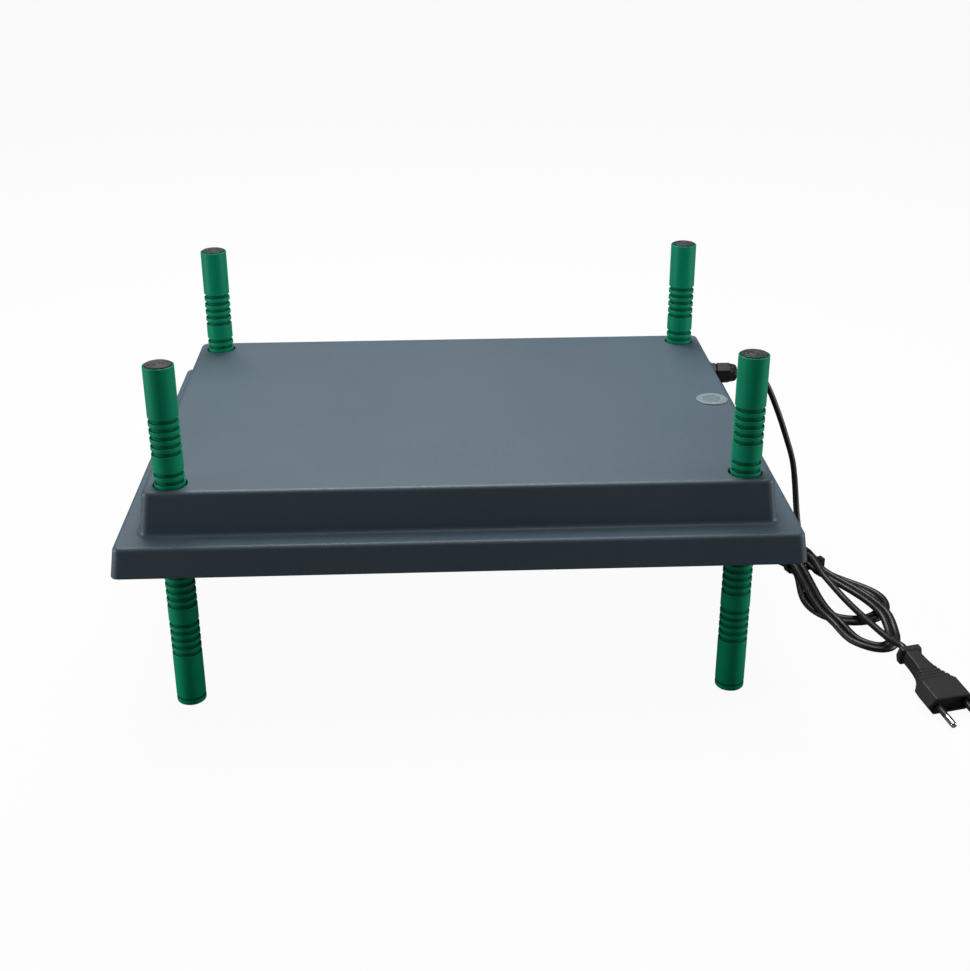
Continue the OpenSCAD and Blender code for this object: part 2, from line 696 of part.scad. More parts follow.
module cutout_tabs() {
    color(steel) for (x = [-1, 1])
        translate([cutout_at.x + x * tab_x - tab_t / 2, cutout_at.y - tab_w / 2, spreader_top + cutout_h])
            cube([tab_t, tab_w, tab_h]);
}

// Wiring

module at_poles() {
    for (y = [-1, 1]) translate([block_at.x, block_at.y + y * pole_y, wire_z]) children();
}

module terminal_block() {
    color("white") difference() {
        translate([block_at.x - block_w / 2, block_at.y - block_l / 2, block_top - block_h])
            cube([block_w, block_l, block_h]);
        at_poles() rotate([0, 90, 0]) cylinder(r = wire_hole_r, h = block_w + 2 * cut, center = true);
        at_poles() for (x = [-1, 1]) translate([x * clamp_x, 0, -block_h])
            cylinder(r = clamp_head_r + fit_play, h = block_h);
        translate([block_at.x, block_at.y, block_top - block_h - cut])
            cylinder(r = screw_hole_r, h = block_h + 2 * cut);
    }
}

module terminal_screws() {
    color("#b5a642") at_poles() for (x = [-1, 1])
        translate([x * clamp_x, 0, -wire_r - clamp_gap - clamp_l]) {
            cylinder(r = clamp_screw_r, h = clamp_l);
            translate([0, 0, clamp_head_lap - clamp_head_h]) cylinder(r = clamp_head_r, h = clamp_head_h);
        }
}

module block_screw() {
    color(steel) translate([block_at.x, block_at.y, block_top - block_h])
        pan_screw(screw_r, block_h + block_boss_h - block_boss_floor, screw_head_r, screw_head_h);
}

// A wire: a smooth tube through a few points
module wire(points, r = wire_r) {
    tube(rounded(points, 2), r, cord_sides);
}

module core(side) {
    end = [block_at.x + wire_in, block_at.y + side * pole_y, wire_z];
    start = [cord_in_x, gland_y + side * core_y, gland_z];
    wire([start, start - [2 * cord_strip, 0, 0], mix(start, end, 0.35) - [0, 0, wire_r],
          mix(start, end, 0.7), end + [wire_bend, 0, 0], end]);
}
module core_live() { color(brown) core(1); }
module core_neutral() { color(blue) core(-1); }

tab_face = tab_x + tab_t / 2 + tab_reach;
module lead_live() {
    from = [block_at.x - wire_in, block_at.y + pole_y, wire_z];
    to = [cutout_at.x - tab_face, cutout_at.y, tab_mid];
    half_way = [from.x - 2.6 * wire_bend, mix(from.y, to.y, 0.49), from.z - 0.6 * wire_bend];
    color(brown) wire([from, from - wire_bend * [1.1, 0, 0], from - wire_bend * [2.4, 1, 0.25], half_way,
        to + wire_bend * [-1.75, 1, 0.1], to - wire_bend * [0.6, 0, 0], to]);
}

module lead_link() {
    from = [cutout_at.x + tab_face, cutout_at.y, tab_mid];
    half_way = [from.x + 2.1 * wire_bend, mix(from.y, heat_end.y, 0.46), from.z - 0.25 * wire_bend];
    color(brown) wire([from, from + wire_bend * [0.6, 0, 0], from + wire_bend * [1.9, 0.75, -0.1], half_way,
        heat_end + wire_bend * [1.9, -1, 0.1], heat_end + wire_bend * [0.9, 0, 0], heat_end]);
}

module lead_neutral() {
    to = [block_at.x - wire_in, block_at.y - pole_y, wire_z];
    cross_y = mix(cutout_at.y + cutout_r, block_at.y - block_l / 2, 0.4);
    lane = [for (share = [0, 0.146, 0.374, 0.665, 0.78])
            [edge_lane, mix(heat_start.y, to.y, share), heat_cord_z]];
    color(blue) wire([heat_start, heat_start + wire_bend * [0.75, 0, 0], lane[0] + wire_bend * [-0.4, 1, 0],
        lane[1], lane[2], lane[3] + wire_bend * [0, 0, 0.1], lane[4] + wire_bend * [-0.5, 0, 0.75],
        [to.x + wire_bend, cross_y, to.z - 1.25 * wire_bend], to + wire_bend * [-1.1, -1.5, -0.75],
        to + wire_bend * [-1.6, -0.4, -0.1], to - wire_bend * [0.9, 0, 0], to]);
}

// Pilot light

module pilot_lens() {
    color(pale_grey) translate([lens_at.x, lens_at.y, top_z]) difference() {
        union() {
            cylinder(r1 = lens_r, r2 = lens_r - lens_bevel, h = lens_t);
            translate([0, 0, -lens_stem_l]) cylinder(r = lens_stem_r, h = lens_stem_l + cut);
        }
        translate([0, 0, lens_t - lens_sink]) cylinder(r = lens_window_r, h = lens_sink + cut);
        translate([0, 0, -lens_stem_l - cut]) cylinder(r = lens_bore_r, h = lens_stem_l);
    }
}

module pilot_retainer() {
    color(steel) translate([lens_at.x, lens_at.y, ceiling_z - retainer_t])
        sleeve(retainer_r, lens_stem_r + fit_play, retainer_t);
}

module pilot_lamp() {
    color("tomato") translate([lens_at.x, lens_at.y, lamp_z]) {
        cylinder(r = lens_bore_r - fit_play, h = lamp_collar_t);
        cylinder(r = lamp_r, h = lamp_l);
        translate([0, 0, lamp_l]) sphere(r = lamp_r);
    }
}

module pilot_leads() {
    color(black) for (side = [-1, 1])
        let (from = [lens_at.x, lens_at.y + side * lamp_wire_y, lamp_z],
             to = [block_at.x + side * clamp_x, block_at.y - block_l / 2, wire_z - 2],
             apart = [side * lamp_wire_x, 0, 0],
             half_way = [from.x - 1.75 * wire_bend, mix(from.y, to.y, 0.325), from.z - wire_bend])
        wire([from, from - wire_bend * [0, 0, 0.4], from + apart + wire_bend * [-0.6, 0.75, -0.9],
            half_way + apart, to + wire_bend * [0.25, -2.5, -0.1], to - wire_bend * [0, 0.5, 0], to],
            lamp_wire_r);
}

// Cable gland, from the wall outwards

module gland_body() {
    color(black) difference() {
        union() {
            along_x(gland_seat_x, gland_y, gland_z)
                cylinder(r = gland_hex_r, h = gland_collar_l, $fn = 6);
            along_x(gland_inner_x - gland_tail_l, gland_y, gland_z)
                cylinder(r = gland_thread_r, h = gland_seat_x - gland_inner_x + gland_tail_l + cut);
            along_x(gland_seat_x + gland_collar_l - cut, gland_y, gland_z)
                cylinder(r = gland_thread_r - gland_nut_gap, h = gland_nut_thread + cut);
        }
        along_x(gland_inner_x - gland_tail_l - cut, gland_y, gland_z)
            cylinder(r = gland_bore_r, h = gland_end_x - gland_inner_x + gland_tail_l);
    }
}

module gland_locknut() {
    color(black) along_x(gland_inner_x - locknut_t, gland_y, gland_z) difference() {
        cylinder(r = locknut_r, h = locknut_t, $fn = 6);
        translate([0, 0, -cut]) cylinder(r = gland_thread_r + fit_play, h = locknut_t + 2 * cut);
    }
}

module gland_seal() {
    color("#2a2a2c") along_x(gland_seat_x + gland_seal_seat, gland_y, gland_z)
        sleeve(gland_bore_r - fit_play, cord_r + fit_play, gland_seal_l);
}

module gland_dome_nut() {
    seat = gland_seat_x + gland_collar_l + gland_nut_gap;
    dome_l = gland_nut_l - gland_nut_hex - gland_nut_gap;
    chamber_l = gland_seal_seat + gland_seal_l - gland_collar_l;
    color(black) along_x(seat, gland_y, gland_z) difference() {
        union() {
            cylinder(r = gland_hex_r, h = gland_nut_hex, $fn = 6);
            translate([0, 0, gland_nut_hex])
                cylinder(r1 = gland_flats / 2, r2 = gland_shoulder_r, h = gland_shoulder_l);
            translate([0, 0, gland_nut_hex + gland_shoulder_l])
                cylinder(r1 = gland_shoulder_r, r2 = gland_lip_r + gland_lip_wall,
                         h = dome_l - gland_shoulder_l);
        }
        translate([0, 0, -cut]) cylinder(r = gland_thread_r, h = gland_nut_hex + cut);
        cylinder(r = gland_bore_r + fit_play, h = chamber_l);
        cylinder(r = gland_lip_r, h = gland_nut_l + cut);
    }
}

// Legs and what goes with them; each is drawn for the corner given by its number

leg_tube_len = leg_len - foot_h;
module leg(i) {
    color(bottle_green) translate(concat(leg_spots[i], [foot_h])) rotate_extrude() difference() {
        translate([leg_bore_r, 0]) square([leg_r - leg_bore_r, leg_tube_len]);
        for (depth = groove_depths)
            translate([leg_r + groove_out, leg_tube_len - depth]) circle(r = groove_r);
        translate([0, leg_tube_len + cap_rise - cap_t]) square([cap_r + fit_play, cap_t]);
        translate([leg_r, 0]) rotate(45) square(foot_seam, center = true);
        translate([leg_r, leg_tube_len]) rotate(45) square(leg_chamfer, center = true);
    }
}

module cap(i) {
    color(cap_grey) translate(concat(leg_spots[i], [leg_len + cap_rise - cap_t])) difference() {
        union() {
            cylinder(r = cap_r, h = cap_t);
            translate([0, 0, -plug_depth]) cylinder(r = leg_bore_r - fit_play, h = plug_depth + cut);
        }
        for (r = cap_rings) translate([0, 0, cap_t - cap_ring_depth])
            sleeve(r + cap_ring_w, r, cap_ring_depth + cut);
    }
}

module foot(i) {
    color(bottle_green) translate([leg_spots[i].x, leg_spots[i].y, 0]) rotate_extrude() {
        square([leg_r - foot_round_r, foot_h]);
        translate([0, foot_round_r]) square([leg_r, foot_h - foot_round_r - leg_chamfer]);
        translate([leg_r - foot_round_r, foot_round_r]) circle(r = foot_round_r);
        square([leg_bore_r - fit_play, foot_h + plug_depth]);
    }
}

module guide(i) {
    color(black) translate([leg_spots[i].x, leg_spots[i].y, 0]) difference() {
        union() {
            translate([0, 0, base_z]) cylinder(r = guide_r, h = ceiling_z - base_z);
            translate([0, 0, deck_z]) cylinder(r = collar_r, h = collar_h);
        }
        translate([0, 0, base_z - cut]) cylinder(r = guide_bore_r, h = ceiling_z - base_z + 2 * cut);
        translate([0, 0, snap_level - snap_wire_r - snap_room])
            cylinder(r = recess_r, h = 2 * (snap_wire_r + snap_room));
    }
}

module snap_ring(i) {
    color(steel) translate([leg_spots[i].x, leg_spots[i].y, snap_level])
        rotate([0, 0, snap_open / 2]) rotate_extrude(angle = 360 - snap_open)
            translate([snap_ring_r, 0]) circle(r = snap_wire_r);
}

// Mains lead

module cord_lead() { color(black) tube(rounded(lead_route, 2), cord_r, cord_sides); }
module cord_hank() { color(black) tube(hank_route(1), cord_r, hank_sides); }
module cord_tail() { color(black) tube(rounded(tail_route, 2), cord_r, cord_sides); }

// The strands at the waist: the loops' left and right runs, the lead and the tail
left_waist = (2 * run_steps + fold_steps) / steps_a_turn;
waist_points = concat([for (k = [0 : hank_turns - 1]) hank_abz(k + left_waist)],
    [for (k = [1 : hank_turns - 1]) hank_abz(k)],
    [[0, waist_b, floor_z(0)], [0, tail_b, tail_rise]]);
module tie_outline(margin) {
    hull() for (p = waist_points) translate([p.y, p.z]) circle(r = cord_r + margin, $fn = hull_fn);
}

module cord_tie() {
    head_b = waist_b + cord_r + tie_gap + (tie_t + tie_head.x) / 2;
    color(black) translate(on_floor(0, 0, 0)) rotate([90, 0, hank_turn + bend_angle(0)]) {
        linear_extrude(height = tie_w, center = true) difference() {
            tie_outline(tie_gap + tie_t);
            tie_outline(tie_gap);
        }
        translate([head_b, floor_z(0), 0]) cube(tie_head, center = true);
    }
}

// Plug

module plug_body() {
    color(black) difference() {
        at_plug() polyhedron(plug_points, tube_faces(len(plug_rings), len(plug_rings[0])), convexity = 4);
        at_pins() translate([0, 0, -plug_hole])
            cylinder(r = core_pin_r + fit_play / 2, h = plug_hole + cut);
    }
}

module plug_pins() {
    color(steel) at_pins() {
        translate([0, 0, -plug_hole]) cylinder(r = core_pin_r, h = plug_hole + sleeve_len + cut);
        translate([0, 0, sleeve_len]) cylinder(r = pin_r, h = pin_len - sleeve_len - pin_tip_l);
        translate([0, 0, pin_len - pin_tip_l]) cylinder(r1 = pin_r, r2 = pin_tip_r, h = pin_tip_l);
    }
}

module pin_sleeves() {
    color(black) at_pins() sleeve(pin_r, core_pin_r + fit_play / 2, sleeve_len);
}

top_cover();
base_plate();
base_screws();
heat_spreader();
heating_cord();
insulation_mat();
thermal_cutout();
cutout_tabs();
terminal_block();
terminal_screws();
block_screw();
core_live();
core_neutral();
lead_live();
lead_link();
lead_neutral();
pilot_lens();
pilot_retainer();
pilot_lamp();
pilot_leads();
gland_body();
gland_locknut();
gland_seal();
gland_dome_nut();
leg(0);  // leg_front_left
leg(1);  // leg_front_right
leg(2);  // leg_rear_left
leg(3);  // leg_rear_right
cap(0);  // cap_front_left
cap(1);  // cap_front_right
cap(2);  // cap_rear_left
cap(3);  // cap_rear_right
foot(0);  // foot_front_left
foot(1);  // foot_front_right
foot(2);  // foot_rear_left
foot(3);  // foot_rear_right
guide(0);  // guide_front_left
guide(1);  // guide_front_right
guide(2);  // guide_rear_left
guide(3);  // guide_rear_right
snap_ring(0);  // snap_ring_front_left
snap_ring(1);  // snap_ring_front_right
snap_ring(2);  // snap_ring_rear_left
snap_ring(3);  // snap_ring_rear_right
cord_lead();
cord_hank();
cord_tail();
cord_tie();
plug_body();
plug_pins();
pin_sleeves();
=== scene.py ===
"""Looks of a chicken brooder heater plate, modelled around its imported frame.

Sizes are millimetres in the frame's axes: the floor at z = 0 under the middle of the plate, +X to the
right, +Y to the back. They become metres where a mesh is drawn.
"""
import logging
import math
from dataclasses import dataclass, field
from enum import Enum
from typing import Optional, Sequence

import bmesh
import bpy
from mathutils import Matrix, Vector

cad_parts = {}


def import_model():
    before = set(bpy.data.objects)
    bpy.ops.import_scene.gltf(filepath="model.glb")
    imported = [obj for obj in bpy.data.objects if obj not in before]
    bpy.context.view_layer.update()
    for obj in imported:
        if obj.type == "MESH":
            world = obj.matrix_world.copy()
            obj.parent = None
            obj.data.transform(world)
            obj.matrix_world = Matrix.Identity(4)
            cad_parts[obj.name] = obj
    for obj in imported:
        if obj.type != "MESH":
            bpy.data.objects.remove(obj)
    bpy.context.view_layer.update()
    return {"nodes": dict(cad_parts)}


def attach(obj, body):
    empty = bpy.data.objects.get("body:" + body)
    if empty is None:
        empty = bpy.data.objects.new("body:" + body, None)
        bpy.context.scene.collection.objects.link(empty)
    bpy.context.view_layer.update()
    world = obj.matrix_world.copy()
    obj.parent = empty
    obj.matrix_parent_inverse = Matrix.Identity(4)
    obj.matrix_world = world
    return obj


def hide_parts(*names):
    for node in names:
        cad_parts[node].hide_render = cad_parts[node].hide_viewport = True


log = logging.getLogger("brooder_plate")
MM = 0.001
Outline = list[tuple[float, float]]
Ring = list[Vector]
# How far each leg stands from the middle, to the side and to the front or back
LEG_PLACE = (168.5, 120.0)
# Where the gland's axis leaves the housing's right wall
GLAND_SEAT = (186.266, 91.0, 131.5)
# Drawn and turned lines are this share as fine along as across
LINE_SHARE = 0.03
# Most values of the broad noise and of the fine one lie in these spans
CLOUD_SPAN = (0.3, 0.7)
GRAIN_SPAN = (0.25, 0.75)
# The gap that keeps two faces apart where pieces meet
CLEAR = 0.02


class Corner(Enum):
    """The four corners that carry a leg, with their side left or right and front or back."""

    FRONT_LEFT = (-1, -1)
    FRONT_RIGHT = (1, -1)
    REAR_LEFT = (-1, 1)
    REAR_RIGHT = (1, 1)

    @property
    def tag(self) -> str:
        """The corner's name as the frame's nodes spell it."""
        return self.name.lower()

    @property
    def stand(self) -> Matrix:
        """The way from the middle of the floor to the corner's leg."""
        side, depth = self.value
        return Matrix.Translation((side * LEG_PLACE[0], depth * LEG_PLACE[1], 0))


class Pattern(Enum):
    """How a surface was made, which sets the pattern that its relief follows."""

    SPARKED = "moulded in a spark-eroded tool: an even fine grain"
    MOULDED = "moulded in a polished tool: faint waves"
    DRAWN = "drawn or extruded along Z: fine lines"
    TURNED = "turned or rolled: fine lines across Z"
    FELTED = "needled fibres: a soft tangle"


def linear(colour: str) -> tuple[float, float, float, float]:
    """Turn an sRGB hex colour into the linear values that a shader reads.

    Args:
        colour: Six hex digits after a hash.

    Returns:
        Red, green, blue and an alpha of 1.
    """
    parts = [int(colour[i:i + 2], 16) / 255 for i in (1, 3, 5)]
    return tuple(c / 12.92 if c <= 0.04045 else ((c + 0.055) / 1.055) ** 2.4 for c in parts) + (1.0,)


def add_node(tree: bpy.types.NodeTree, kind: str, links: Optional[dict] = None,
             **settings: object) -> bpy.types.Node:
    """Add a node with its settings and its links.

    Args:
        tree: The material's node tree.
        kind: The node's type name.
        links: What feeds each input, by the input's name or number: another node's socket, or a value.
        settings: Attributes set on the node itself.

    Returns:
        The new node.
    """
    node = tree.nodes.new(kind)
    for name, value in settings.items():
        setattr(node, name, value)
    for name, source in (links or {}).items():
        if isinstance(source, bpy.types.NodeSocket):
            tree.links.new(source, node.inputs[name])
        else:
            node.inputs[name].default_value = source
    return node


@dataclass(frozen=True)
class Finish:
    """A surface finish: what the material is, its colours and the relief that its making leaves.

    Attributes:
        name: The material's common name and how its surface was made.
        colour: Its main colour, as sRGB hex.
        shade: The colour that it drifts to in broad clouds.
        roughness: Its mean roughness.
        pattern: How the surface was made.
        size: Width of the relief's grain or lines in millimetres, or coarser where that would not show.
        depth: Depth of the relief in millimetres.
        metallic: 1 for a metal.
        cloud: Width of the colour's clouds in millimetres.
        gloss_swing: How far the roughness swings either way with the relief.
        specular: Level of the plain reflection.
        transmission: Share of the light that passes through.
    """

    name: str
    colour: str
    shade: str
    roughness: float
    pattern: Pattern = Pattern.MOULDED
    size: float = 1.0
    depth: float = 0.05
    metallic: float = 0.0
    cloud: float = 40.0
    gloss_swing: float = 0.06
    specular: float = 0.5
    transmission: float = 0.0

    def material(self) -> bpy.types.Material:
        """Build the finish as a node material, once.

        Returns:
            The material, shared by every piece with this finish.
        """
        made = bpy.data.materials.get(self.name)
        if made:
            return made
        made = bpy.data.materials.new(self.name)
        made.use_nodes = True
        tree = made.node_tree
        shader = tree.nodes["Principled BSDF"]
        place = add_node(tree, "ShaderNodeTexCoord").outputs["Object"]
        stretch = {Pattern.DRAWN: (1, 1, LINE_SHARE), Pattern.TURNED: (LINE_SHARE, LINE_SHARE, 1)}
        lay = add_node(tree, "ShaderNodeMapping", {
            "Vector": place, "Scale": stretch.get(self.pattern, (1, 1, 1))})
        detail = {Pattern.SPARKED: 3.0, Pattern.FELTED: 6.0}.get(self.pattern, 1.0)
        grain = add_node(tree, "ShaderNodeTexNoise", {
            "Vector": lay.outputs[0], "Scale": 1 / (self.size * MM), "Detail": detail, "Roughness": 0.55})
        broad = add_node(tree, "ShaderNodeTexNoise", {
            "Vector": place, "Scale": 1 / (self.cloud * MM), "Detail": 2.0})
        tone = add_node(tree, "ShaderNodeMapRange", {
            "Value": broad.outputs["Fac"], "From Min": CLOUD_SPAN[0], "From Max": CLOUD_SPAN[1]})
        speck = add_node(tree, "ShaderNodeMath", {0: tone.outputs[0], 1: grain.outputs["Fac"]},
                         operation="MULTIPLY")
        paint = add_node(tree, "ShaderNodeMix", {
            "Factor": speck.outputs[0], 6: linear(self.colour), 7: linear(self.shade)}, data_type="RGBA")
        gloss = add_node(tree, "ShaderNodeMapRange", {
            "Value": grain.outputs["Fac"], "From Min": GRAIN_SPAN[0], "From Max": GRAIN_SPAN[1],
            "To Min": self.roughness - self.gloss_swing, "To Max": self.roughness + self.gloss_swing})
        relief = add_node(tree, "ShaderNodeBump", {
            "Height": grain.outputs["Fac"], "Distance": self.depth * MM, "Strength": 1.0})
        tree.links.new(paint.outputs[2], shader.inputs["Base Color"])
        tree.links.new(gloss.outputs[0], shader.inputs["Roughness"])
        tree.links.new(relief.outputs[0], shader.inputs["Normal"])
        shader.inputs["Metallic"].default_value = self.metallic
        shader.inputs["Specular IOR Level"].default_value = self.specular
        shader.inputs["Transmission Weight"].default_value = self.transmission
        return made


# High-impact polystyrene, moulded with a grained face: it breaks the light into a soft satin. The real
# grain is about 0.4 mm and is drawn three times as coarse, so that it shows
SLATE = Finish("grained_polystyrene_slate", "#576975", "#4f616d", 0.44, Pattern.SPARKED, 1.2, 0.14,
               cloud=90, specular=0.45)
# The same plastic left smooth on the warm side: an even dull grey
SLATE_PLAIN = Finish("smooth_polystyrene_slate", "#55606a", "#4d5861", 0.5, Pattern.MOULDED, 6.0, 0.03)
# Polypropylene from a polished tool: deep green with a soft clear shine
GREEN = Finish("moulded_polypropylene_green", "#00a87a", "#009a6f", 0.37, Pattern.MOULDED, 5.0, 0.03,
               cloud=30, specular=0.22)
# Painted shade: the same green moulding made darker, rougher and less shiny on the faces deep in the
# grooves between the ribs and in the seam over the foot, where shade falls
GREEN_GROOVE_SHADE = Finish("dull_polypropylene_groove", "#017a57", "#016a4a", 0.6, Pattern.SPARKED, 1.0, 0.03,
                    specular=0.1)
# Soft thermoplastic rubber: charcoal, dry to the eye
CHARCOAL = Finish("soft_rubber_charcoal", "#36383b", "#2f3134", 0.5, Pattern.SPARKED, 0.9, 0.02,
                  specular=0.3)
# Glass-filled nylon: black with a slight bloom
NYLON = Finish("black_nylon", "#1d1d1f", "#151516", 0.42, Pattern.SPARKED, 0.7, 0.03)
# Soft vinyl sheath of a flex, a little shiny along its crown
VINYL = Finish("black_vinyl_flex", "#1e1e20", "#161618", 0.4, Pattern.MOULDED, 3.0, 0.03)
# Moulded vinyl of a plug: charcoal black with an eroded face
PLUG_VINYL = Finish("black_vinyl_plug", "#2a292c", "#202022", 0.48, Pattern.SPARKED, 0.8, 0.05)
# Nickel on brass: bright, with fine lines across the pin, drawn coarser than real ones so that they show
NICKEL = Finish("nickel_plated_brass", "#d9d7d2", "#c6c3bd", 0.2, Pattern.DRAWN, 0.6, 0.004, metallic=1.0)
# Frosted polycarbonate: pale grey, milky
LENS = Finish("frosted_polycarbonate", "#8f9ea4", "#86959b", 0.42, Pattern.MOULDED, 2.0, 0.01)
# The lens's thin window, painted darker: painted shade for the dark inside that would show through it
LENS_WINDOW = Finish("frosted_window", "#82919a", "#798891", 0.34, Pattern.MOULDED, 2.0, 0.01)
# Zinc on rolled steel: a pale grey metal with a soft shine
STEEL = Finish("zinc_plated_steel", "#b9bcc0", "#a8abb0", 0.32, Pattern.TURNED, 0.7, 0.006, metallic=1.0)
# Rolled aluminium sheet: bright, dulled a little by the lines that the rolls leave
ALUMINIUM = Finish("rolled_aluminium", "#cfd2d5", "#c3c6ca", 0.36, Pattern.TURNED, 0.9, 0.006, metallic=1.0)
# Silicone rubber round a heating wire: tan, even and dry
SILICONE = Finish("silicone_heating_cord", "#c9ad84", "#bda077", 0.55, Pattern.MOULDED, 2.0, 0.02)
# Needled glass felt: off-white, with a soft tangle of fibres and no shine
FELT = Finish("needled_glass_felt", "#e2dfd6", "#d2cec3", 0.9, Pattern.FELTED, 2.5, 0.4)
# Moulded nylon: off-white with a faint grain
WHITE_NYLON = Finish("white_nylon", "#e4e3de", "#dad9d3", 0.45, Pattern.SPARKED, 1.0, 0.03)
# Vinyl of single wires in the two mains colours: smooth, with a low shine
BROWN_WIRE = Finish("brown_wire_sheath", "#6b4226", "#5e3920", 0.45, Pattern.MOULDED, 2.0, 0.02)
BLUE_WIRE = Finish("blue_wire_sheath", "#2f5f9e", "#28548e", 0.45, Pattern.MOULDED, 2.0, 0.02)
# Glass of a neon lamp: half clear, orange, with a sharp shine
LAMP_GLASS = Finish("neon_lamp_glass", "#d98a6a", "#cf7d5c", 0.12, Pattern.MOULDED, 3.0, 0.005,
                    transmission=0.4)


def mix(start: float, end: float, share: float) -> float:
    """A value part of the way from one to another."""
    return start + (end - start) * share


def ease(share: float) -> float:
    """A share from 0 to 1 that starts and ends gently."""
    held = min(1.0, max(0.0, share))
    return held * held * (3 - 2 * held)


def inward(base: tuple[float, float], more: float) -> tuple[float, float]:
    """An inset each way, made larger by the same amount."""
    return (base[0] + more, base[1] + more)


def gland_axes() -> Matrix:
    """Axes on the gland's seat, with Z out of the right wall."""
    return Matrix.Translation(GLAND_SEAT) @ Matrix.Rotation(math.pi / 2, 4, "Y")


def rounded_polygon(corners: Outline, radius: float, steps: int) -> Outline:
    """Round the corners of a convex outline.

    Args:
        corners: The outline's corners, anticlockwise.
        radius: Radius of each corner.
        steps: Points on each corner, less one.

    Returns:
        The rounded outline, with the same count of points on every corner.
    """
    points = []
    for i, corner in enumerate(corners):
        here = Vector(corner)
        before = (Vector(corners[i - 1]) - here).normalized()
        after = (Vector(corners[(i + 1) % len(corners)]) - here).normalized()
        half = before.angle(after) / 2
        middle = here + (before + after).normalized() * radius / math.sin(half)
        start = middle - here + before * -radius / math.tan(half)
        turn = math.pi - 2 * half
        for k in range(steps + 1):
            arm = Matrix.Rotation(turn * k / steps, 2) @ -start
            points.append(tuple(middle + arm))
    return points


def rectangle(width: float, depth: float) -> Outline:
    """Corners of a rectangle about the origin, anticlockwise."""
    return [(x * width / 2, y * depth / 2) for x, y in ((1, -1), (1, 1), (-1, 1), (-1, -1))]


def hexagon(flats: float) -> Outline:
    """Corners of a hexagon about the origin, from its width across flats."""
    reach = flats / 2 / math.cos(math.pi / 6)
    return [(reach * math.cos(math.pi * k / 3), reach * math.sin(math.pi * k / 3)) for k in range(6)]


def circle(radius: float, sides: int) -> Outline:
    """Points of a circle about the origin."""
    return [(radius * math.cos(math.tau * k / sides), radius * math.sin(math.tau * k / sides))
            for k in range(sides)]


def arc(middle: tuple[float, float], radius: float, start: float, end: float, steps: int) -> Outline:
    """Draw an arc.

    Args:
        middle: The arc's middle.
        radius: Its radius.
        start: The angle of its first point in degrees.
        end: The angle of its last point.
        steps: Its count of points, less one.

    Returns:
        The arc's points.
    """
    angles = [math.radians(start + (end - start) * k / steps) for k in range(steps + 1)]
    return [(middle[0] + radius * math.cos(a), middle[1] + radius * math.sin(a)) for a in angles]


def level(outline: Outline, z: float) -> Ring:
    """Lay an outline at a height."""
    return [Vector((x, y, z)) for x, y in outline]


def apply_modifier(piece: bpy.types.Object, kind: str, **settings: object) -> None:
    """Add a modifier to a piece and apply it.

    Args:
        piece: The piece to change.
        kind: The modifier's type.
        settings: Attributes set on the modifier.
    """
    modifier = piece.modifiers.new(kind.lower(), kind)
    for name, value in settings.items():
        setattr(modifier, name, value)
    bpy.context.view_layer.objects.active = piece
    bpy.ops.object.modifier_apply(modifier=modifier.name)


def loft(name: str, rings: Sequence[Ring]) -> bpy.types.Object:
    """Model a piece by drawing a ring and extruding it from one section to the next.

    Args:
        name: The piece's name.
        rings: Sections in millimetres, each with the same count of points. Both ends get a face.

    Returns:
        The new piece, with its place in its mesh.
    """
    count = len(rings[0])
    bpy.ops.object.select_all(action="DESELECT")
    bpy.ops.mesh.primitive_circle_add(vertices=count, radius=MM, fill_type="NOTHING", enter_editmode=True)
    piece = bpy.context.object
    piece.name = piece.data.name = name
    shape = bmesh.from_edit_mesh(piece.data)
    order = shape.verts.layers.int.new("order")
    for i, point in enumerate(shape.verts):
        point[order] = i
        point.co = rings[0][i] * MM
    for ring in rings[1:]:
        bpy.ops.mesh.extrude_region()
        shape = bmesh.from_edit_mesh(piece.data)
        order = shape.verts.layers.int["order"]
        shape.verts.ensure_lookup_table()
        for point in shape.verts[-count:]:
            point.co = ring[point[order]] * MM
    bpy.ops.mesh.edge_face_add()
    bpy.ops.mesh.select_all(action="DESELECT")
    shape = bmesh.from_edit_mesh(piece.data)
    shape.verts.ensure_lookup_table()
    for point in shape.verts[:count]:
        point.select = True
    shape.select_flush(True)
    bpy.ops.mesh.edge_face_add()
    bpy.ops.mesh.select_all(action="SELECT")
    bpy.ops.mesh.normals_make_consistent(inside=False)
    bpy.ops.object.mode_set(mode="OBJECT")
    piece.data.attributes.remove(piece.data.attributes["order"])
    return piece


def turn_on_lathe(name: str, profile: Outline, sides: int = 64) -> bpy.types.Object:
    """Model a round piece about the Z axis from its profile, radius and height, bottom to top."""
    return loft(name, [level(circle(max(r, 0.001), sides), z) for r, z in profile])


def put(piece: bpy.types.Object, place: Matrix) -> bpy.types.Object:
    """Move a piece's mesh to its place, with its object left at the origin.

    Args:
        piece: The piece to move.
        place: Where it goes, in millimetres.

    Returns:
        The piece.
    """
    shift = place.copy()
    shift.translation = place.translation * MM
    piece.data.transform(shift)
    return piece


def twin(piece: bpy.types.Object, name: str) -> bpy.types.Object:
    """Copy a piece with a mesh of its own.

    Args:
        piece: The piece to copy.
        name: The copy's name.

    Returns:
        The copy, in the same place.
    """
    copied = piece.copy()
    copied.data = piece.data.copy()
    copied.name = copied.data.name = name
    bpy.context.collection.objects.link(copied)
    return copied


def soften(piece: bpy.types.Object, angle: float = 35.0) -> bpy.types.Object:
    """Shade a piece smooth, with broad faces kept flat.

    Args:
        piece: The finished mesh.
        angle: Edges that turn by more than this, in degrees, stay sharp.

    Returns:
        The piece.
    """
    bpy.ops.object.select_all(action="DESELECT")
    piece.select_set(True)
    bpy.context.view_layer.objects.active = piece
    bpy.ops.object.shade_smooth_by_angle(angle=math.radians(angle))
    apply_modifier(piece, "WEIGHTED_NORMAL", keep_sharp=True, weight=80)
    return piece


